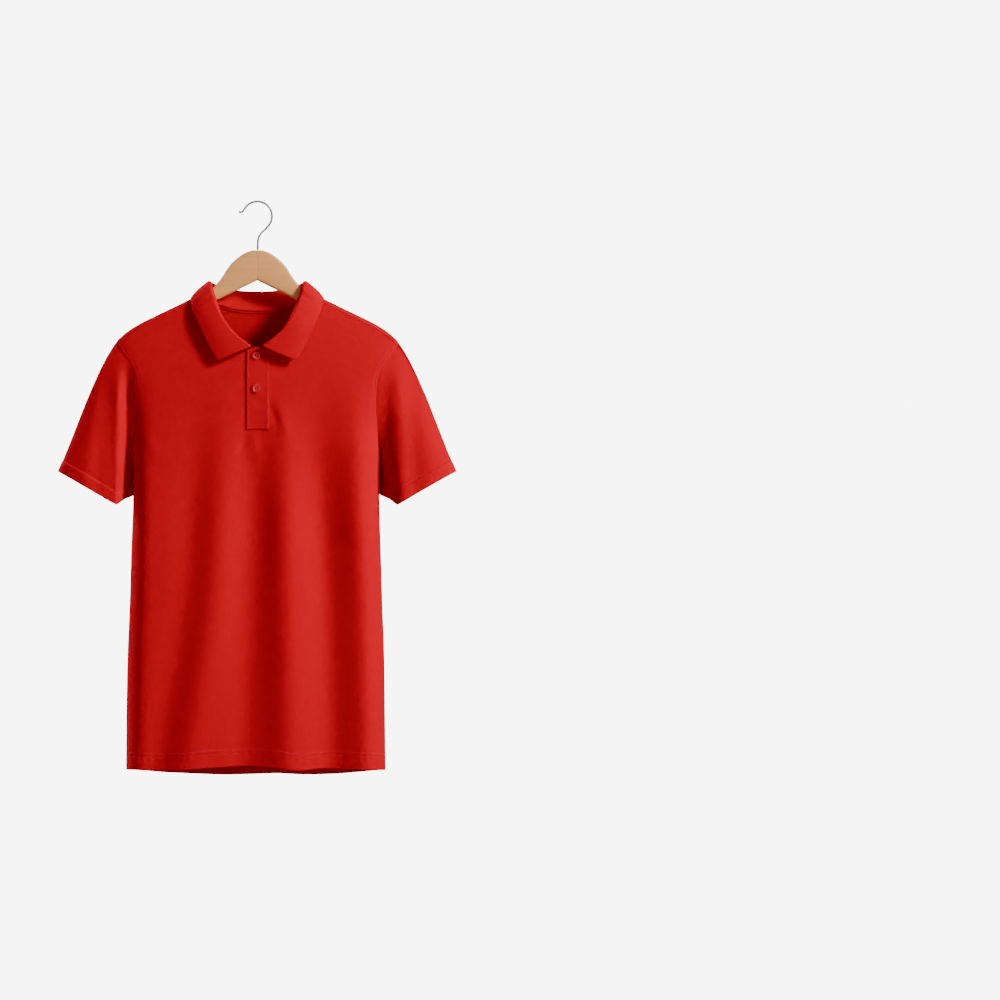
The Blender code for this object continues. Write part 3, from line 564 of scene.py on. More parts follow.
def fold_rise(folds, x, z):
    """How far the body's folds stand out, none at the side seams and near the shoulders."""
    rise = np.zeros_like(x)
    heights = np.array(FOLD_HEIGHTS)
    for fold in folds:
        middle = smooth(z, heights, np.array([fold.low, fold.middle, fold.high]))
        rise += fold.rise * np.exp(-(((x - middle) / fold.width) ** 2))
    away_from_side = 1 - np.clip(np.abs(x) / side_x(x, z), 0, 1) ** FOLDS_SIDE_POWER
    return rise * away_from_side * ramp(-z, -FOLDS_START, -FOLDS_FULL)


def crease_rise(creases, x, z):
    """Soft ridges and troughs along short lines, highest in the middle of each."""
    rise = np.zeros(np.broadcast(x, z).shape)
    for row in creases:
        run, fall = row.end_x - row.x, row.end_z - row.z
        share = np.clip(((x - row.x) * run + (z - row.z) * fall) / (run**2 + fall**2), 0, 1)
        away = np.hypot(x - row.x - share * run, z - row.z - share * fall)
        strength = CREASE_END + (1 - CREASE_END) * np.sin(math.pi * share)
        rise += row.rise * strength * np.exp(-((away / row.width) ** 2))
    return rise


def bare_depth(x, z):
    """Depth of the body without its folds, round the bend at the ridge and below it."""
    drop = ridge(x) - z
    into_bend = np.clip(drop / RIDGE_RADIUS, 0, 1)
    in_bend = RIDGE_RADIUS * np.sqrt(1 - (1 - into_bend) ** 2)
    return np.where(drop < RIDGE_RADIUS, in_bend, full_depth(drop, z)) * section_share(x, z, drop)


def front_y(x, z):
    """The outside of the front panel."""
    return -(bare_depth(x, z) + fold_rise(FRONT_FOLDS, x, z))


def back_point(x, s):
    """The outside of the back panel, where s is the height along the cloth as if the bend over
    the ridge were laid out flat."""
    along = ridge(x) - s
    angle = np.clip(along / RIDGE_RADIUS, -math.pi / 2, math.pi / 2)
    straight = np.maximum(along - RIDGE_ARC, 0)
    z = ridge(x) - RIDGE_RADIUS * (1 - np.cos(angle)) - straight
    depth = np.where(
        straight > 0, full_depth(RIDGE_RADIUS + straight, z), RIDGE_RADIUS * np.sin(angle)
    )
    y = depth * section_share(x, z, ridge(x) - z) + fold_rise(BACK_FOLDS, x, z)
    y = y + crease_rise(BACK_CREASES, x, z)
    return x, y, z


def laid_out(z):
    """The height along the cloth of a point of the back panel below the bend."""
    return z + RIDGE_RADIUS - RIDGE_ARC


def top_x(share):
    """Where a column meets the panel's upper edge: first round the neck, then along the shoulder."""
    size = np.abs(share)
    stations = np.linspace(0, NECK_SHARE, len(NECKLINE))
    in_neck = smooth(size, stations, column(NECKLINE, "x"))
    along = (size - NECK_SHARE) / (1 - NECK_SHARE)
    on_shoulder = NECK_SIDE + (SHOULDER_TIP - NECK_SIDE) * np.sin(along * math.pi / 2)
    return np.sign(share) * np.where(size <= NECK_SHARE, in_neck, on_shoulder)


def top_height(share, face):
    """Height of the panel's upper edge, along the cloth for the back."""
    size = np.abs(share)
    stations = np.linspace(0, NECK_SHARE, len(NECKLINE))
    neck = smooth(size, stations, column(NECKLINE, face))
    crest = ridge(top_x(share))
    seam_drop = RIDGE_RADIUS * (1 - math.cos(SEAM_ANGLE))
    past_ridge = RIDGE_RADIUS * SEAM_ANGLE
    shoulder = crest - seam_drop if face == "front" else crest + past_ridge
    return np.where(size < NECK_SHARE, neck, shoulder)


def fold_sleeve(points, sign):
    """Moves a sleeve's or a cuff's points in and out where its folds run."""
    across, depth, height = np.abs(points[..., 0]), points[..., 1], -points[..., 2]
    down = ramp(height, SLEEVE_FOLD_TOP, SLEEVE_FOLD_FULL)
    share = ramp(height, SLEEVE_FOLD_TOP, SLEEVE_FOLD_BOTTOM)
    move = np.zeros_like(depth)
    for fold in SLEEVE_FOLDS:
        if fold.sign == sign:
            place = fold.top + (fold.bottom - fold.top) * share
            on_face = ramp(fold.face * depth, 0, SLEEVE_FOLD_TURN)
            move += fold.face * fold.rise * on_face * np.exp(-(((across - place) / fold.width) ** 2))
    return move * down


def ring_shares(ring):
    """How far round the ring each point is, 0 at its first point and 0.5 at its lowest."""
    along = reach_from_edge(np.vstack([ring, ring[:1]]))
    lowest = int(np.argmin(ring[:, 2]))
    return np.interp(along[:-1], [0, along[lowest], along[-1]], [0, 0.5, 1])


def lowness(share):
    """How low a place on a ring is: 0 at its first point and 1 at its lowest."""
    return (1 - np.cos(share * 2 * math.pi)) / 2


def sleeve_end(share, sign):
    """The sleeve's lower ring, from its outer fold round the back to the inner fold and back
    round the front."""
    across = lowness(share)
    outer, inner = SLEEVE_END_OUTER, SLEEVE_END_INNER
    x = outer[0] + across * (inner[0] - outer[0])
    z = outer[2] + across * (inner[2] - outer[2])
    z = z + SLEEVE_INNER_RISE * ramp(across, SLEEVE_RISE_START, 1)
    widest = SLEEVE_DEPTH_OUTER + (SLEEVE_DEPTH_INNER - SLEEVE_DEPTH_OUTER) * across
    round_off = np.sqrt(np.clip(1 - np.abs(2 * across - 1) ** SLEEVE_RING_POWER, 0, 1))
    face = np.sign(np.sin(share * 2 * math.pi))
    y = face * widest * round_off + inner[1] * across**SLEEVE_BACK_POWER
    x = x - SLEEVE_SHEAR * y * across**SLEEVE_SHEAR_POWER
    return np.stack([sign * x, y, z + SLEEVE_TILT * y * across], axis=1)


def sleeve_start_pull(share, sign):
    """Direction in which the sleeve leaves the armhole: down the arm at the top, straight out at
    the armpit."""
    low = lowness(share)
    out = START_TOP_OUT + (START_LOW_OUT - START_TOP_OUT) * low
    back = START_LOW_BACK * low**4 + START_SIDE_BACK * np.sin(share * 2 * math.pi)
    up = START_TOP_UP + (START_LOW_UP - START_TOP_UP) * low**2
    return unit(np.stack([sign * out, back, up], axis=1))


def sleeve_axis(share, sign):
    """Direction of the sleeve's end: along the arm outside, nearly straight down at the body."""
    out = SLEEVE_AXIS[0] * (1 - INNER_UPRIGHT * lowness(share) ** 3)
    return unit(np.stack([sign * out, np.zeros_like(out), np.full_like(out, SLEEVE_AXIS[2])], axis=1))


def sleeve_points(ring, edge_normal, sign):
    """The sleeve from under the armhole's edge to its cuff."""
    share = ring_shares(ring)
    start_pull = sleeve_start_pull(share, sign)
    start = ring - edge_normal * SEAM_SINK
    end = sleeve_end(share, sign)
    reach = np.linalg.norm(end - start, axis=1)[:, None]
    ease = SLEEVE_START_PULL * (1 - UNDERARM_EASE * lowness(share) ** 4)
    start_slope = start_pull * reach * ease[:, None]
    end_slope = sleeve_axis(share, sign) * SLEEVE_END_PULL * reach
    rows = [start - start_pull * SEAM_ALLOWANCE - edge_normal * SEAM_SINK]
    for t in np.linspace(0, 1, SLEEVE_ROWS) ** SLEEVE_ROW_SPREAD:
        rows.append(between(start, end, start_slope, end_slope, t))
    points = np.array(rows)
    away_from_seam = ramp(reach_from_edge(points), 0, SLEEVE_FOLD_START)
    points[..., 1] += fold_sleeve(points, sign) * away_from_seam
    return points


def cuff_points(share, sign):
    """The rib band, a little proud of the sleeve, with its upper edge lapped under the sleeve's end."""
    axis = sleeve_axis(share, sign)
    ring = sleeve_end(share, sign)
    away = unit(ring - ring.mean(axis=0))
    rows = []
    for step in np.linspace(-CUFF_LAP, CUFF_DEPTH, CUFF_ROWS):
        proud = CUFF_PROUD * float(ramp(step, -CUFF_LAP, CUFF_LAP))
        rows.append(ring + axis * step + away * proud)
    points = np.array(rows)
    points[..., 1] += fold_sleeve(points, sign)
    return points


def row_heights(face):
    """Heights of a panel's rows at its outer edge, along the cloth and in space."""
    crest = float(ridge(np.array(SHOULDER_TIP)))
    hem_top = HEM + HEM_REACH
    heights = np.concatenate(
        [
            np.linspace(HEM, hem_top, HEM_ROWS)[:-1],
            np.linspace(hem_top, ARMPIT, SIDE_ROWS - HEM_ROWS + 1)[:-1],
            np.linspace(ARMPIT, crest - RIDGE_RADIUS, ARM_ROWS),
        ]
    )
    if face == "front":
        edge = np.append(heights, crest - RIDGE_RADIUS * (1 - math.cos(SEAM_ANGLE)))
        return edge[:, None], edge[:, None]
    bend = np.linspace(RIDGE_ARC, -RIDGE_RADIUS * SEAM_ANGLE, RIDGE_ROWS)[1:]
    edge = np.concatenate([laid_out(heights), crest - bend])
    edge_z = np.concatenate([heights, np.full(RIDGE_ROWS - 1, crest - RIDGE_RADIUS)])
    return edge[:, None], edge_z[:, None]


def panel_points(face):
    """Points of the front or the back, a row for each height from the hem up, and their sizes
    across and up the cloth."""
    share = np.linspace(-1, 1, PANEL_COLUMNS)[None, :]
    sign = np.where(share < 0, -1.0, 1.0)
    edge, edge_z = row_heights(face)
    to_top = ramp(edge, TOP_BLEND_START, edge[-1])
    to_hem = 1 - ramp(edge, edge[0], BOTTOM_BLEND_END)
    spread = np.sin(np.abs(share) * math.pi / 2)
    x = sign * side_x(sign, edge_z) * spread
    x = x + to_top * (top_x(share) - sign * SHOULDER_TIP * spread)
    hem = read(HEMS, "x", face, x)
    hem = hem if face == "front" else laid_out(hem)
    level = edge + to_top * (top_height(share, face) - edge[-1]) + to_hem * (hem - edge[0])
    z_at_hem = level if face == "front" else level + RIDGE_ARC - RIDGE_RADIUS
    x = np.where(to_hem > 0, sign * side_x(sign, z_at_hem) * spread, x)
    if face == "front":
        y = front_y(x, level) - crease_rise(FRONT_CREASES, x, level)
        points = np.stack([x, y, level], axis=2)
    else:
        points = np.stack(back_point(x, level), axis=2)
    return points, np.stack([across_middle(points), level], axis=2)


def across_middle(points):
    """Level distances along each row from its middle."""
    along = reach_from_edge(np.swapaxes(points[..., :2], 0, 1)).T
    return along - along[:, [along.shape[1] // 2]]


def armhole_ring(front_grid, back_grid, sign):
    """The armhole's edge all round: from the ridge down the back, then up the front."""
    edge = 0 if sign < 0 else -1
    armpit = SIDE_ROWS - 1
    back = back_grid[armpit:, edge][::-1]
    front = front_grid[armpit:, edge]
    crest = RIDGE_ROWS // 2
    return np.concatenate([back[crest:], front[1:], back[1:crest]])


def grid_normals(points, ring=False):
    """Unit normals of a grid of points, rows by places."""
    up = np.gradient(points, axis=0)
    if ring:
        across = np.roll(points, -1, axis=1) - np.roll(points, 1, axis=1)
    else:
        across = np.gradient(points, axis=1)
    return unit(np.cross(across, up))


def reach_from_edge(points):
    """Distances along a grid's columns from its first row, or along a line from its start."""
    steps = np.linalg.norm(np.diff(points, axis=0), axis=-1)
    return np.concatenate([np.zeros_like(steps[:1]), np.cumsum(steps, axis=0)])


def cloth_sizes(points, ring):
    """Real distances across and up a grid, for patterns of the cloth."""
    closed = np.concatenate([points, points[:, :1]], axis=1) if ring else points
    across = np.linalg.norm(np.diff(closed, axis=1), axis=2).mean(axis=0)
    u = np.concatenate([[0], np.cumsum(across)])
    v = reach_from_edge(closed)
    return np.stack([np.broadcast_to(u, v.shape), v], axis=2)


def cells(corners, rows, places):
    """Faces on a grid, at all the given rows and places: the side, row and place of each corner."""
    row, place = np.meshgrid(rows, places, indexing="ij")
    at = np.stack([np.zeros(row.size, dtype=int), row.ravel(), place.ravel()])
    return at[:, :, None] + np.array(corners).T[:, None, :]


def shell(name, points, thickness, ring=False, lift=0.0, sizes=None):
    """A thin wall through a grid of points, with its outside on the grid and its edges closed."""
    normal = grid_normals(points, ring)
    outer = points + normal * lift
    inner = outer - normal * thickness
    rows, count = points.shape[:2]
    all_rows, all_places = range(rows - 1), range(count if ring else count - 1)
    faces = [
        cells(OUTER_FACE, all_rows, all_places),
        cells(INNER_FACE, all_rows, all_places),
        cells(LEVEL_RIM[::-1], [0], all_places),
        cells(LEVEL_RIM, [rows - 1], all_places),
    ]
    if not ring:
        faces.append(cells(UPRIGHT_RIM, all_rows, [0]))
        faces.append(cells(UPRIGHT_RIM[::-1], all_rows, [count - 1]))
    side, row, place = np.concatenate(faces, axis=1)
    quads = (side * rows + row) * count + place % count
    mesh = bpy.data.meshes.new(name)
    mesh.from_pydata(np.stack([outer, inner]).reshape(-1, 3).tolist(), [], quads.tolist())
    mesh.shade_smooth()
    sizes = cloth_sizes(points, ring) if sizes is None else sizes
    layer = mesh.uv_layers.new(name=CLOTH_MAP)
    layer.data.foreach_set("uv", sizes[row, place].ravel())
    return link_piece(name, mesh)


def link_piece(name, data):
    obj = bpy.data.objects.new(name, data)
    bpy.context.scene.collection.objects.link(obj)
    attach(obj, "root")
    return obj


def groove(distance, place, width=GROOVE_WIDTH):
    """How far cloth is drawn in along a seam."""
    return GROOVE_DEPTH * np.exp(-(((distance - place) / width) ** 2))


def panel_lift(points, face):
    """The turned hem stands out a little, and every seam and row of stitches is drawn in."""
    above = reach_from_edge(points)
    lift = HEM_PROUD * (1 - ramp(above, HEM_STITCHES[-1], HEM_STITCHES[-1] + HEM_STEP))
    for height in HEM_STITCHES:
        lift -= groove(above, height)
    turn = 2 * math.pi * points[..., 0]
    ripple = np.sin(turn / HEM_RIPPLE + HEM_RIPPLE_WANDER * np.sin(turn / HEM_RIPPLE_DRIFT))
    near = np.exp(-(((above - HEM_STITCHES[0]) / HEM_RIPPLE_REACH) ** 2))
    lift += HEM_RIPPLE_RISE * ripple * near
    for side in (1, -1):
        inside = reach_from_edge(np.swapaxes(points[:, ::side], 0, 1)).T[:, ::side]
        lift *= ramp(inside, 0, SIDE_FLAT)
        lift -= groove(inside, 0, SIDE_GROOVE_WIDTH)
        lift[SIDE_ROWS:] -= groove(inside, ARMHOLE_STITCH)[SIDE_ROWS:]
    if face == "back":
        lift -= groove(reach_from_edge(points[::-1])[::-1], SHOULDER_STITCH)
    return lift[..., None]


def panel_thickness(points):
    """Two layers where the hem is turned up inside."""
    above = reach_from_edge(points)
    turned_up = 1 - ramp(above, HEM_STITCHES[-1] + GROOVE_WIDTH, HEM_STITCHES[-1] + HEM_STEP)
    return CLOTH * (1 + turned_up)[..., None]


def line_inside(points, normals, inset):
    """The line at a distance in from a grid's first row, and the normals there."""
    reach = reach_from_edge(points)
    lines = []
    for values in (points, normals):
        line = [read_points(inset, reach[:, place], values[:, place]) for place in range(reach.shape[1])]
        lines.append(np.array(line))
    return lines


def stitch_row(route, normal):
    """Where each stitch of a row starts and ends, and which way is out."""
    along = reach_from_edge(route)
    count = max(int(along[-1] / STITCH_PITCH), 1)
    middle = (np.arange(count) + 0.5) * along[-1] / count
    half = STITCH_LENGTH / 2
    places = ((route, -half), (route, half), (normal, 0.0))
    return np.stack([read_points(middle + shift, along, values) for values, shift in places])


def thread_piece(name, rows):
    """One piece from the stitches of some rows, each a short thread that dips in at its ends."""
    start, end, up = np.concatenate(rows, axis=1)
    along = end - start
    side = unit(np.cross(along, up))
    rings = []
    for share, size, rise in STITCH_FORM:
        centre = start + along * share + up * rise * THREAD_RADIUS
        for over, out in ((side, 0), (0, up), (-side, 0), (0, -up)):
            rings.append(centre + THREAD_RADIUS * size * (over + out))
    points = np.stack(rings, axis=1)
    last = len(STITCH_FORM) - 1
    _, ring, place = cells(OUTER_FACE[::-1], range(last), range(4))
    first_cap, last_cap = np.arange(4), 4 * last + np.arange(4)[::-1]
    quads = np.vstack([first_cap, 4 * ring + place % 4, last_cap])
    starts = np.arange(len(start))[:, None, None] * points.shape[1]
    mesh = bpy.data.meshes.new(name)
    mesh.from_pydata(points.reshape(-1, 3).tolist(), [], (starts + quads).reshape(-1, 4).tolist())
    mesh.shade_smooth()
    obj = link_piece(name, mesh)
    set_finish(obj, "pique")


def sew_panel(name, points, lift, face):
    """Twin rows above the hem, one row beside each armhole, and one beside the shoulder seams."""
    normals = grid_normals(points) * (1 if face == "front" else -1)
    outer = points + normals * lift
    rows = [stitch_row(*line_inside(outer, normals, height)) for height in HEM_STITCHES]
    arm = slice(SIDE_ROWS, None)
    for side in (1, -1):
        across = [np.swapaxes(values[arm, ::side], 0, 1) for values in (outer, normals)]
        rows.append(stitch_row(*line_inside(*across, ARMHOLE_STITCH)))
    if face == "back":
        neck = int(PANEL_COLUMNS * (1 - NECK_SHARE) / 2)
        for shoulder in (slice(SHOULDER_FREE_COLUMNS, neck), slice(-neck, -SHOULDER_FREE_COLUMNS)):
            down = [values[::-1, shoulder] for values in (outer, normals)]
            rows.append(stitch_row(*line_inside(*down, SHOULDER_STITCH)))
    thread_piece(name, rows)


def make_body():
    """Both panels with their stitches, and the neck tape."""
    grids = {}
    tape = make_neck_tape()
    for face, pieces in (("front", []), ("back", [tape])):
        points, sizes = panel_points(face)
        lift = panel_lift(points, face)
        thickness = panel_thickness(points)
        sew_panel(f"shirt_{face}_stitches", points, lift, face)
        grids[face] = points
        if face == "back":
            points, lift, thickness, sizes = (grid[:, ::-1] for grid in (points, lift, thickness, sizes))
        obj = shell(f"shirt_{face}", points, thickness, lift=lift, sizes=sizes)
        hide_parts(face)
        cloth_slot(obj, "pique")
    return grids["front"], grids["back"]


def cloth_slot(obj, slot):
    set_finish(obj, slot)


def make_sleeves(front_grid, back_grid):
    """Each sleeve from its armhole, and its rib band."""
    front_normal = grid_normals(front_grid)
    back_normal = -grid_normals(back_grid)
    for sign, name in ((1, "left"), (-1, "right")):
        ring = armhole_ring(front_grid, back_grid, sign)
        normal = armhole_ring(front_normal, back_normal, sign)
        sleeve = sleeve_points(ring, normal, sign)
        cuff = cuff_points(ring_shares(ring), sign)
        if sign > 0:
            sleeve, cuff = sleeve[:, ::-1], cuff[:, ::-1]
        sleeve = shell(f"shirt_sleeve_{name}", sleeve, CLOTH, ring=True)
        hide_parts(f"sleeve_{name}")
        cloth_slot(sleeve, "pique")
        cuff = shell(f"shirt_cuff_{name}", cuff, RIB, ring=True)
        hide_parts(f"cuff_{name}")
        cloth_slot(cuff, "rib")


def body_clearance(x, z):
    """Least distance of the collar's leaf from the middle plane, where the body is below it."""
    drop = ridge(x) - z
    on_body = np.where(drop > 0, bare_depth(x, z), 0)
    return on_body + LEAF_CLEARANCE * ramp(drop, -LEAF_EASE, LEAF_EASE)


def collar_lines():
    """The collar's seam, fold and edge lines all round the neck, at even steps between stations."""
    neck_x = column(NECKLINE, "x")
    front_z = column(NECKLINE, "front")
    front = np.stack([neck_x, front_y(neck_x, front_z) + CLOTH / 2, front_z], axis=1)
    back_x, back_y, back_z = back_point(neck_x, column(NECKLINE, "back"))
    back = np.stack([back_x, back_y - CLOTH / 2, back_z], axis=1)
    seam = np.concatenate([front[1:], back[-2::-1]])
    fold = np.stack([column(COLLAR, f"fold_{axis}") for axis in "xyz"], axis=1)
    edge = np.stack([column(COLLAR, f"edge_{axis}") for axis in "xyz"], axis=1)
    mirror = np.array([-1.0, 1.0, 1.0])
    lines = []
    for line in (seam, fold, edge):
        whole = np.concatenate([line[:-1], (line * mirror)[::-1]])
        keys = np.arange(len(whole), dtype=float)
        fine = np.linspace(0, len(whole) - 1, COLLAR_COLUMNS)
        lines.append(np.stack([smooth(fine, keys, whole[:, axis]) for axis in range(3)], axis=1))
    return lines


def collar_points():
    """Rows from the seam up the stand, round the fold and down the leaf to the edge."""
    seam, fold, edge = collar_lines()
    along = np.gradient(fold, axis=0)
    outward = unit(np.stack([along[:, 1], -along[:, 0], np.zeros(len(fold))], axis=1))
    up = np.array([0.0, 0.0, 1.0])
    at_side = ramp(np.abs(fold[:, 0]), SIDE_FOLD_START, SIDE_FOLD_FULL)
    radius = FOLD_RADIUS + (SIDE_FOLD_RADIUS - FOLD_RADIUS) * at_side
    radius = np.where(fold[:, 1] > 0, SIDE_FOLD_RADIUS, radius)[:, None]
    stand_top = fold - up * radius - outward * FOLD_RADIUS
    centre = stand_top + outward * radius
    leaf_run = np.sum((edge - fold) * outward, axis=1)
    leaf_fall = fold[:, 2] - edge[:, 2]
    full_turn = math.pi / 2 + np.arctan2(leaf_fall, leaf_run)
    seam = seam - unit(stand_top - seam) * SEAM_ALLOWANCE
    rows = [seam + (stand_top - seam) * share for share in np.linspace(0, 1, STAND_ROWS)[:-1]]
    for share in np.linspace(0, 1, BEND_ROWS):
        angle = (full_turn * share)[:, None]
        rows.append(centre + radius * (up * np.sin(angle) - outward * np.cos(angle)))
    leaf_top = rows[-1]
    for share in np.linspace(0, 1, LEAF_ROWS)[1:]:
        point = leaf_top + (edge - leaf_top) * share
        point = point + outward * LEAF_ARCH * math.sin(math.pi * share)
        least = body_clearance(point[:, 0], point[:, 2])
        side = np.where(edge[:, 1] < 0, -1.0, 1.0)
        point[:, 1] = side * np.maximum(side * point[:, 1], least)
        rows.append(soften(point, LEAF_SOFTEN * share))
    return np.array(rows)


def soften(line, reach):
    """Rounds off the corners of a line of points, with its ends left in place."""
    places = np.arange(len(line), dtype=float)
    kept = np.minimum(np.minimum(places, places[::-1]), reach)
    total = np.zeros_like(line)
    for shift in SOFTEN_SHIFTS:
        total += read_points(places + shift * kept, places, line)
    return total / len(SOFTEN_SHIFTS)


def make_collar():
    collar = shell("shirt_collar", collar_points(), RIB, lift=RIB / 2)
    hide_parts("collar")
    cloth_slot(collar, "rib")


def make_neck_tape():
    """A strip inside the back that covers the collar's seam."""
    share = np.linspace(-NECK_SHARE, NECK_SHARE, TAPE_COLUMNS)
    top = top_height(share, "back")
    x = np.clip(top_x(share), -TAPE_END, TAPE_END)
    top = np.minimum(top, np.interp(TAPE_END, column(NECKLINE, "x"), column(NECKLINE, "back")))
    rows = []
    for below in np.linspace(TAPE_WIDTH, 0, TAPE_ROWS):
        across, depth, height = back_point(x, top - below)
        rows.append(np.stack([across, depth - CLOTH, height], axis=1))
    points = np.array(rows)
    tape = shell("shirt_neck_tape", points, TAPE_CLOTH, lift=TAPE_CLOTH)
    normals = grid_normals(points)
    edge, out = line_inside(points + normals * TAPE_CLOTH, normals, TAPE_STITCH)
    thread_piece("shirt_tape_stitches", [stitch_row(edge, out)])
    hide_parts("neck_tape")
    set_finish(tape, "tape")
    return tape


def placket_grid(moved_out, top_edge):
    """Points over the placket's place, moved out from the front panel."""
    x = np.linspace(PLACKET_LEFT, PLACKET_RIGHT, PLACKET_COLUMNS)
    top = top_edge(x)
    rows = []
    for share in np.linspace(0, 1, PLACKET_ROWS):
        z = PLACKET_BOTTOM + (top - PLACKET_BOTTOM) * share
        rows.append(np.stack([x, front_y(x, z) - moved_out, z], axis=1))
    return np.array(rows)


def make_placket():
    def top_edge(x):
        beside = np.abs(x) - PLACKET_TOP_HALF_WIDTH
        return PLACKET_TOP + (PLACKET_TOP_AT_COLLAR - PLACKET_TOP) * ramp(beside, 0, PLACKET_TOP_ROUND)

    def under_edge(x):
        return np.full_like(x, PLACKET_TOP_AT_COLLAR)

    top = shell("shirt_placket_top", placket_grid(PLACKET_CLOTH, top_edge), PLACKET_CLOTH)
    under = shell("shirt_placket_under", placket_grid(-CLOTH, under_edge), PLACKET_CLOTH)
    for obj, node in ((top, "placket_top"), (under, "placket_under")):
        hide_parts(node)
        cloth_slot(obj, "pique")
    sew_placket(placket_grid(PLACKET_CLOTH, top_edge))


def sew_placket(points):
    """Rows beside both long edges and across the lower end, and a buttonhole under each button."""
    normals = grid_normals(points)
    rows = []
    for side in (1, -1):
        across = [np.swapaxes(values[:, ::side], 0, 1) for values in (points, normals)]
        rows.append(stitch_row(*line_inside(*across, PLACKET_STITCH)))
    for height in (PLACKET_STITCH, PLACKET_BOX_STITCH):
        rows.append(stitch_row(*line_inside(points, normals, height)))
    out = np.array([0.0, -1.0, 0.0])
    for middle in BUTTON_HEIGHTS:
        for side in (-1, 1):
            ends = []
            for away in (BUTTONHOLE_SLIT, BUTTONHOLE_WIDTH):
                z = np.linspace(middle - BUTTONHOLE_HALF, middle + BUTTONHOLE_HALF, BUTTONHOLE_STITCHES)
                x = np.full(BUTTONHOLE_STITCHES, BUTTON_X + side * away)
                ends.append(np.stack([x, front_y(x, z) - PLACKET_CLOTH, z], axis=1))
            rows.append(np.stack([*ends, np.broadcast_to(out, ends[0].shape)]))
    thread_piece("shirt_placket_stitches", rows)


def placket_face(x, z):
    """The outside of the top placket."""
    at_x, at_z = np.array([x]), np.array([z])
    return float(front_y(at_x, at_z)[0]) - PLACKET_CLOTH


def turned(profile, centre, sides):
    """Rings round an axis from front to back: each one's distance from it and place along it."""
    turn = np.arange(sides) * 2 * math.pi / sides
    rings = []
    for radius, along in profile:
        ring = (radius * np.sin(turn), np.full(sides, along), radius * np.cos(turn))
        rings.append(np.stack(ring, axis=1))
    return np.array(rings) + np.array(centre)


def drill(obj, holes, centre, depth):
    """Cuts round holes through a piece from front to back."""
    drills = []
    for across, up in holes:
        place = (centre[0] + across, centre[1], centre[2] + up)
        rings = turned(((BUTTON_HOLE_RADIUS, -depth), (BUTTON_HOLE_RADIUS, depth)), place, HOLE_SIDES)
        bit = bpy.data.objects.new("drill", ring_mesh("drill", rings))
        bpy.context.scene.collection.objects.link(bit)
        hole = obj.modifiers.new("Hole", "BOOLEAN")
        hole.operation = "DIFFERENCE"
        hole.object = bit
        drills.append(bit)
    cut = bpy.data.meshes.new_from_object(obj.evaluated_get(bpy.context.evaluated_depsgraph_get()))
    obj.modifiers.clear()
    obj.data = cut
    cut.shade_smooth()
    cut.set_sharp_from_angle(angle=BUTTON_SHARP)
    for bit in drills:
        bpy.data.objects.remove(bit)


def make_button(name, z):
    """A disc with a raised rim and four holes, facing the front, and the thread that crosses in it."""
    half = BUTTON_THICKNESS / 2
    profile = (
        (BUTTON_RADIUS - 2 * BUTTON_RIM, BUTTON_DISH - half),
        (BUTTON_RADIUS - BUTTON_RIM, -half),
        (BUTTON_RADIUS - BUTTON_RIM / 2, -half),
        (BUTTON_RADIUS - BUTTON_RIM / 6, -half * BUTTON_EDGE),
        (BUTTON_RADIUS, -half / 2),
        (BUTTON_RADIUS, half / 2),
        (BUTTON_RADIUS - BUTTON_RIM / 2, half),
    )
    centre = (BUTTON_X, placket_face(BUTTON_X, z) - SEAM_GAP - half, z)
    obj = link_piece(f"shirt_{name}", ring_mesh(name, turned(profile, centre, BUTTON_SIDES)))
    offset = BUTTON_HOLE_OFFSET
    holes = [(across * offset, up * offset) for across in (-1, 1) for up in (-1, 1)]
    drill(obj, holes, centre, BUTTON_THICKNESS)
    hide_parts(name)
    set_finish(obj, "buttons")
    face = np.array(centre) + (0, BUTTON_DISH - half - THREAD_RADIUS / 2, 0)
    corners = face + offset * np.array([(-1.0, 0.0, -1.0), (1.0, 0.0, -1.0)])
    opposite = face + offset * np.array([(1.0, 0.0, 1.0), (-1.0, 0.0, 1.0)])
    out = np.array([(0.0, -1.0, 0.0), (0.0, -1.0, 0.0)])
    thread_piece(f"shirt_{name}_stitches", [np.stack([corners, opposite, out])])


def hanger_section(x):
    """Top and underside of the hanger at a distance from its middle."""
    under_cloth = (CLOTH + WOOD_GAP) * math.hypot(1, UNDERSIDE_SLOPE)
    under_cloth += WOOD_NECK_EASE * (1 - float(ramp(x, NECK_SIDE, NECK_SIDE + WOOD_EASE_REACH)))
    dome_x, dome_z = column(WOOD_DOME, "x"), column(WOOD_DOME, "z")
    if x <= dome_x[-1]:
        top = float(smooth(np.array(x), dome_x, dome_z))
    else:
        blend = float(ramp(x, dome_x[-1], WOOD_NECK_END))
        straight = dome_z[-1] - (x - dome_x[-1]) * DOME_END_SLOPE
        top = straight + (float(ridge(np.array(x))) - under_cloth - straight) * blend
    underside = UNDERSIDE_APEX - UNDERSIDE_SLOPE * x
    past = max(x - (ARM_END - ARM_END_RADIUS), 0) / ARM_END_RADIUS
    middle, half = (top + underside) / 2, (top - underside) / 2
    half *= max(math.sqrt(max(1 - past**2, 0)), ARM_END_LEAST)
    return middle + half, middle - half


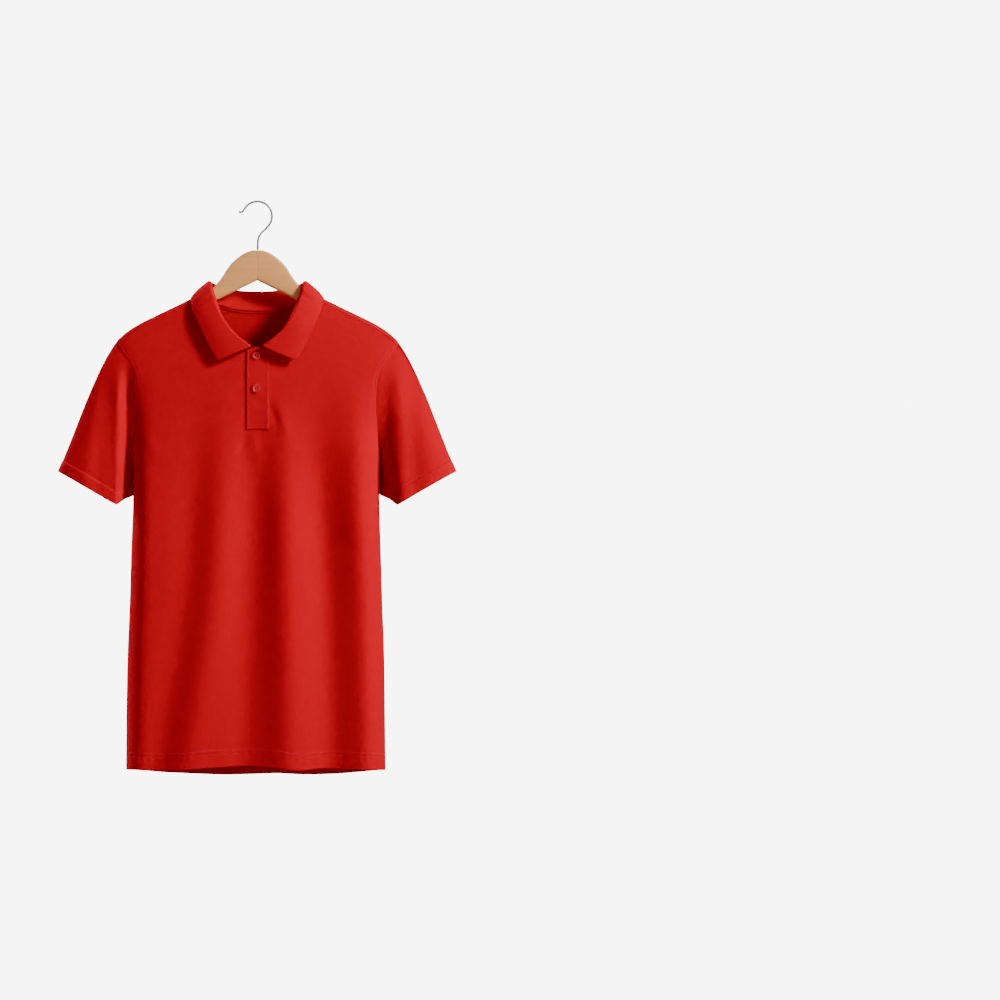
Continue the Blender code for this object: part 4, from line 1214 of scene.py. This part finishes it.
def hanger_ring(x):
    """A flat section with rounded corners, standing across the arm."""
    top, underside = hanger_section(abs(x))
    joint = WOOD_JOINT if x == 0 else 0
    radius = min(WOOD_CORNER, (top - underside) / 2 - WOOD_FLAT)
    across = WOOD_THICKNESS / 2 - radius - joint
    points = []
    for quarter in range(4):
        side = 1 if quarter in (0, 3) else -1
        end = top - radius if quarter in (0, 1) else underside + radius
        for angle in np.linspace(0, math.pi / 2, WOOD_CORNER_POINTS) + math.pi / 2 * quarter:
            points.append((x, side * across + radius * math.cos(angle), end + radius * math.sin(angle)))
    return points


def make_hanger():
    half = np.concatenate(
        [
            [0, WOOD_JOINT],
            np.linspace(2 * WOOD_JOINT, ARM_END - ARM_END_RADIUS, ARM_SECTIONS),
            ARM_END - ARM_END_RADIUS * np.cos(np.linspace(0, math.pi / 2, ARM_END_SECTIONS)[1:]),
        ]
    )
    rings = np.array([hanger_ring(float(x)) for x in np.concatenate([-half[:0:-1], half])])
    obj = link_piece("wooden_hanger", ring_mesh("wood", rings))
    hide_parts("hanger")
    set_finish(obj, "wood")


def tube(name, route, radius, sides):
    """A round wire along a route of points, with closed ends."""
    route = np.array(route, dtype=float)
    along = unit(np.gradient(route, axis=0))
    side = unit(np.cross(along, np.array([0.0, 1.0, 0.0])))
    other = np.cross(along, side)
    rings = []
    for turn in np.arange(sides) * 2 * math.pi / sides:
        rings.append(route + radius * (side * math.cos(turn) + other * math.sin(turn)))
    return ring_mesh(name, np.stack(rings, axis=1))


def ring_mesh(name, rings):
    """A closed mesh through rings of points, its ends capped."""
    rows, count = rings.shape[:2]
    _, row, place = cells(OUTER_FACE, range(rows - 1), range(count))
    faces = (row * count + place % count).tolist()
    faces.append(list(range(count))[::-1])
    faces.append(list(range((rows - 1) * count, rows * count)))
    mesh = bpy.data.meshes.new(name)
    mesh.from_pydata(rings.reshape(-1, 3).tolist(), [], faces)
    mesh.shade_smooth()
    return mesh


def make_hook():
    """The wire from the wood up, round and out to its tip."""
    middle = WIRE_RADIUS - HOOK_RADIUS
    route = [(row.x, row.z) for row in HOOK_SHANK[::-1]]
    for angle in np.linspace(HOOK_START_ANGLE, HOOK_END_ANGLE, HOOK_POINTS):
        route.append((HOOK_RADIUS * math.cos(angle), middle + HOOK_RADIUS * math.sin(angle)))
    route += [(row.x, row.z) for row in HOOK_TIP]
    obj = link_piece("wire_hook", tube("wire", [(x, 0.0, z) for x, z in route], WIRE_RADIUS, WIRE_SIDES))
    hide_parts("hanger_hook")
    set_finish(obj, "wire")


def fill(tree, node, inputs):
    """Gives each of a node's inputs a plain value or the output of another node."""
    for key, value in inputs.items():
        if isinstance(value, bpy.types.NodeSocket):
            tree.links.new(value, node.inputs[key])
        else:
            node.inputs[key].default_value = value


def add_node(tree, kind, inputs, **settings):
    """A new node with its settings and inputs."""
    node = tree.nodes.new(kind)
    for name, value in settings.items():
        setattr(node, name, value)
    fill(tree, node, inputs)
    return node


def calculate(tree, operation, first, second=0.0):
    """The output of a node that works out a number from one or two others."""
    return add_node(tree, "ShaderNodeMath", {0: first, 1: second}, operation=operation).outputs[0]


def new_material(name):
    material = bpy.data.materials.new(name)
    material.use_nodes = True
    return material


def fill_shader(tree, low, high, tone, inputs):
    """Sets inputs of a material's shader, with a colour that runs between two tones."""
    mix_inputs = {"A": (*low, 1), "B": (*high, 1), "Factor": tone}
    mix = add_node(tree, "ShaderNodeMix", mix_inputs, data_type="RGBA")
    fill(tree, tree.nodes["Principled BSDF"], {**inputs, "Base Color": mix.outputs["Result"]})


def cloth_material(knit):
    """Knit cloth with a fine grid of stitches in real size, from the piece's own map."""
    material = new_material(knit.slot)
    tree = material.node_tree
    place = add_node(tree, "ShaderNodeUVMap", {}, uv_map=CLOTH_MAP)
    split = add_node(tree, "ShaderNodeSeparateXYZ", {0: place.outputs["UV"]})
    waves = []
    for axis, pitch in (("X", knit.across), ("Y", knit.up)):
        turn = calculate(tree, "MULTIPLY", split.outputs[axis], 2 * math.pi / pitch)
        waves.append(calculate(tree, "SINE", turn))
    height = calculate(tree, knit.join, *waves)
    bump = add_node(tree, "ShaderNodeBump", {"Height": height, "Distance": knit.depth, "Strength": 1.0})
    noise = add_node(tree, "ShaderNodeTexNoise", {"Scale": CLOTH_TONE_SCALE})
    low = [part * (1 - CLOTH_TONE_SPREAD) for part in RED]
    high = [part * (1 + CLOTH_TONE_SPREAD) for part in RED]
    inputs = {
        "Roughness": CLOTH_ROUGHNESS,
        "Specular IOR Level": CLOTH_SPECULAR,
        "Normal": bump.outputs["Normal"],
    }
    fill_shader(tree, low, high, noise.outputs["Fac"], inputs)
    return material


def plain_material(firm):
    """A firm material whose tone runs between two colours along its own grain."""
    material = new_material(firm.name)
    tree = material.node_tree
    place = add_node(tree, "ShaderNodeTexCoord", {}).outputs["Object"]
    stretch = add_node(tree, "ShaderNodeMapping", {"Vector": place, "Scale": firm.grain}).outputs["Vector"]
    grain = {"Vector": stretch, "Scale": 1.0, "Detail": GRAIN_DETAIL}
    tone = add_node(tree, "ShaderNodeTexNoise", grain).outputs["Fac"]
    inputs = {"Roughness": firm.roughness, "Metallic": firm.metallic}
    fill_shader(tree, firm.low, firm.high, tone, inputs)
    return material


def paint(obj, material):
    obj.data.materials.clear()
    obj.data.materials.append(material)


def paint_pieces():
    """Each piece gets the material of its slot, and rows of stitches that of the thread."""
    by_slot = {knit.slot: cloth_material(knit) for knit in KNITS}
    by_slot.update({firm.slot: plain_material(firm) for firm in FIRM_MATERIALS})
    for obj in bpy.data.objects:
        if "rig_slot" in obj:
            slot = "thread" if obj.name.endswith("stitches") else obj["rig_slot"]
            paint(obj, by_slot[slot])


def make_world():
    """Soft pale light from all round, brighter where the backdrops stand."""
    world = bpy.data.worlds.new("studio")
    world.use_nodes = True
    tree = world.node_tree
    place = add_node(tree, "ShaderNodeTexCoord", {}).outputs["Generated"]
    strength = 0.0
    for direction, edge in BACKDROPS:
        towards = add_node(tree, "ShaderNodeVectorMath", {0: place, 1: direction}, operation="DOT_PRODUCT")
        inputs = {
            "Value": towards.outputs["Value"],
            "From Min": edge,
            "From Max": (1 + edge) / 2,
            "To Min": WORLD_STRENGTH / len(BACKDROPS),
            "To Max": BACKDROP_STRENGTH,
        }
        lobe = add_node(tree, "ShaderNodeMapRange", inputs, interpolation_type="SMOOTHSTEP")
        strength = calculate(tree, "ADD", strength, lobe.outputs["Result"])
    fill(tree, tree.nodes["Background"], {"Color": (1.0, 1.0, 1.0, 1), "Strength": strength})
    return world


def make_stage():
    """Pale floor, pale surroundings and soft lamps, the strongest from the upper right."""
    floor_mesh = bpy.data.meshes.new("floor")
    left, right, front, back = -FLOOR_FAR, FLOOR_NEAR, -FLOOR_NEAR, FLOOR_FAR
    corners = ((left, front), (right, front), (right, back), (left, back))
    floor_mesh.from_pydata([(*corner, FLOOR) for corner in corners], [], [(0, 1, 2, 3)])
    floor = bpy.data.objects.new("floor", floor_mesh)
    bpy.context.scene.collection.objects.link(floor)
    paint(floor, plain_material(FLOOR_MATERIAL))
    bpy.context.scene.world = make_world()
    for row in LAMPS:
        lamp = bpy.data.lights.new(row.name, "AREA")
        lamp.size = row.size
        lamp.spread = math.radians(row.spread)
        lamp.energy = row.power
        obj = bpy.data.objects.new(row.name, lamp)
        obj.location = row.place
        obj.rotation_euler = (Vector(row.aim) - Vector(row.place)).to_track_quat("-Z", "Y").to_euler()
        bpy.context.scene.collection.objects.link(obj)


def make_camera():
    camera = bpy.data.cameras.new("photo")
    camera.lens = LENS
    camera.sensor_width = SENSOR
    camera.clip_end = CLIP_END
    obj = bpy.data.objects.new("photo", camera)
    distance = PICTURE_WIDTH * LENS / SENSOR
    obj.location = (VIEW_X, -distance, VIEW_Z)
    obj.rotation_euler = (math.pi / 2, 0, 0)
    bpy.context.scene.collection.objects.link(obj)
    bpy.context.scene.camera = obj


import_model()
front_grid, back_grid = make_body()
make_sleeves(front_grid, back_grid)
make_collar()
make_placket()
for number, height in enumerate(BUTTON_HEIGHTS):
    make_button(f"button_{number + 1}", height)
make_hanger()
make_hook()
paint_pieces()
make_stage()
make_camera()
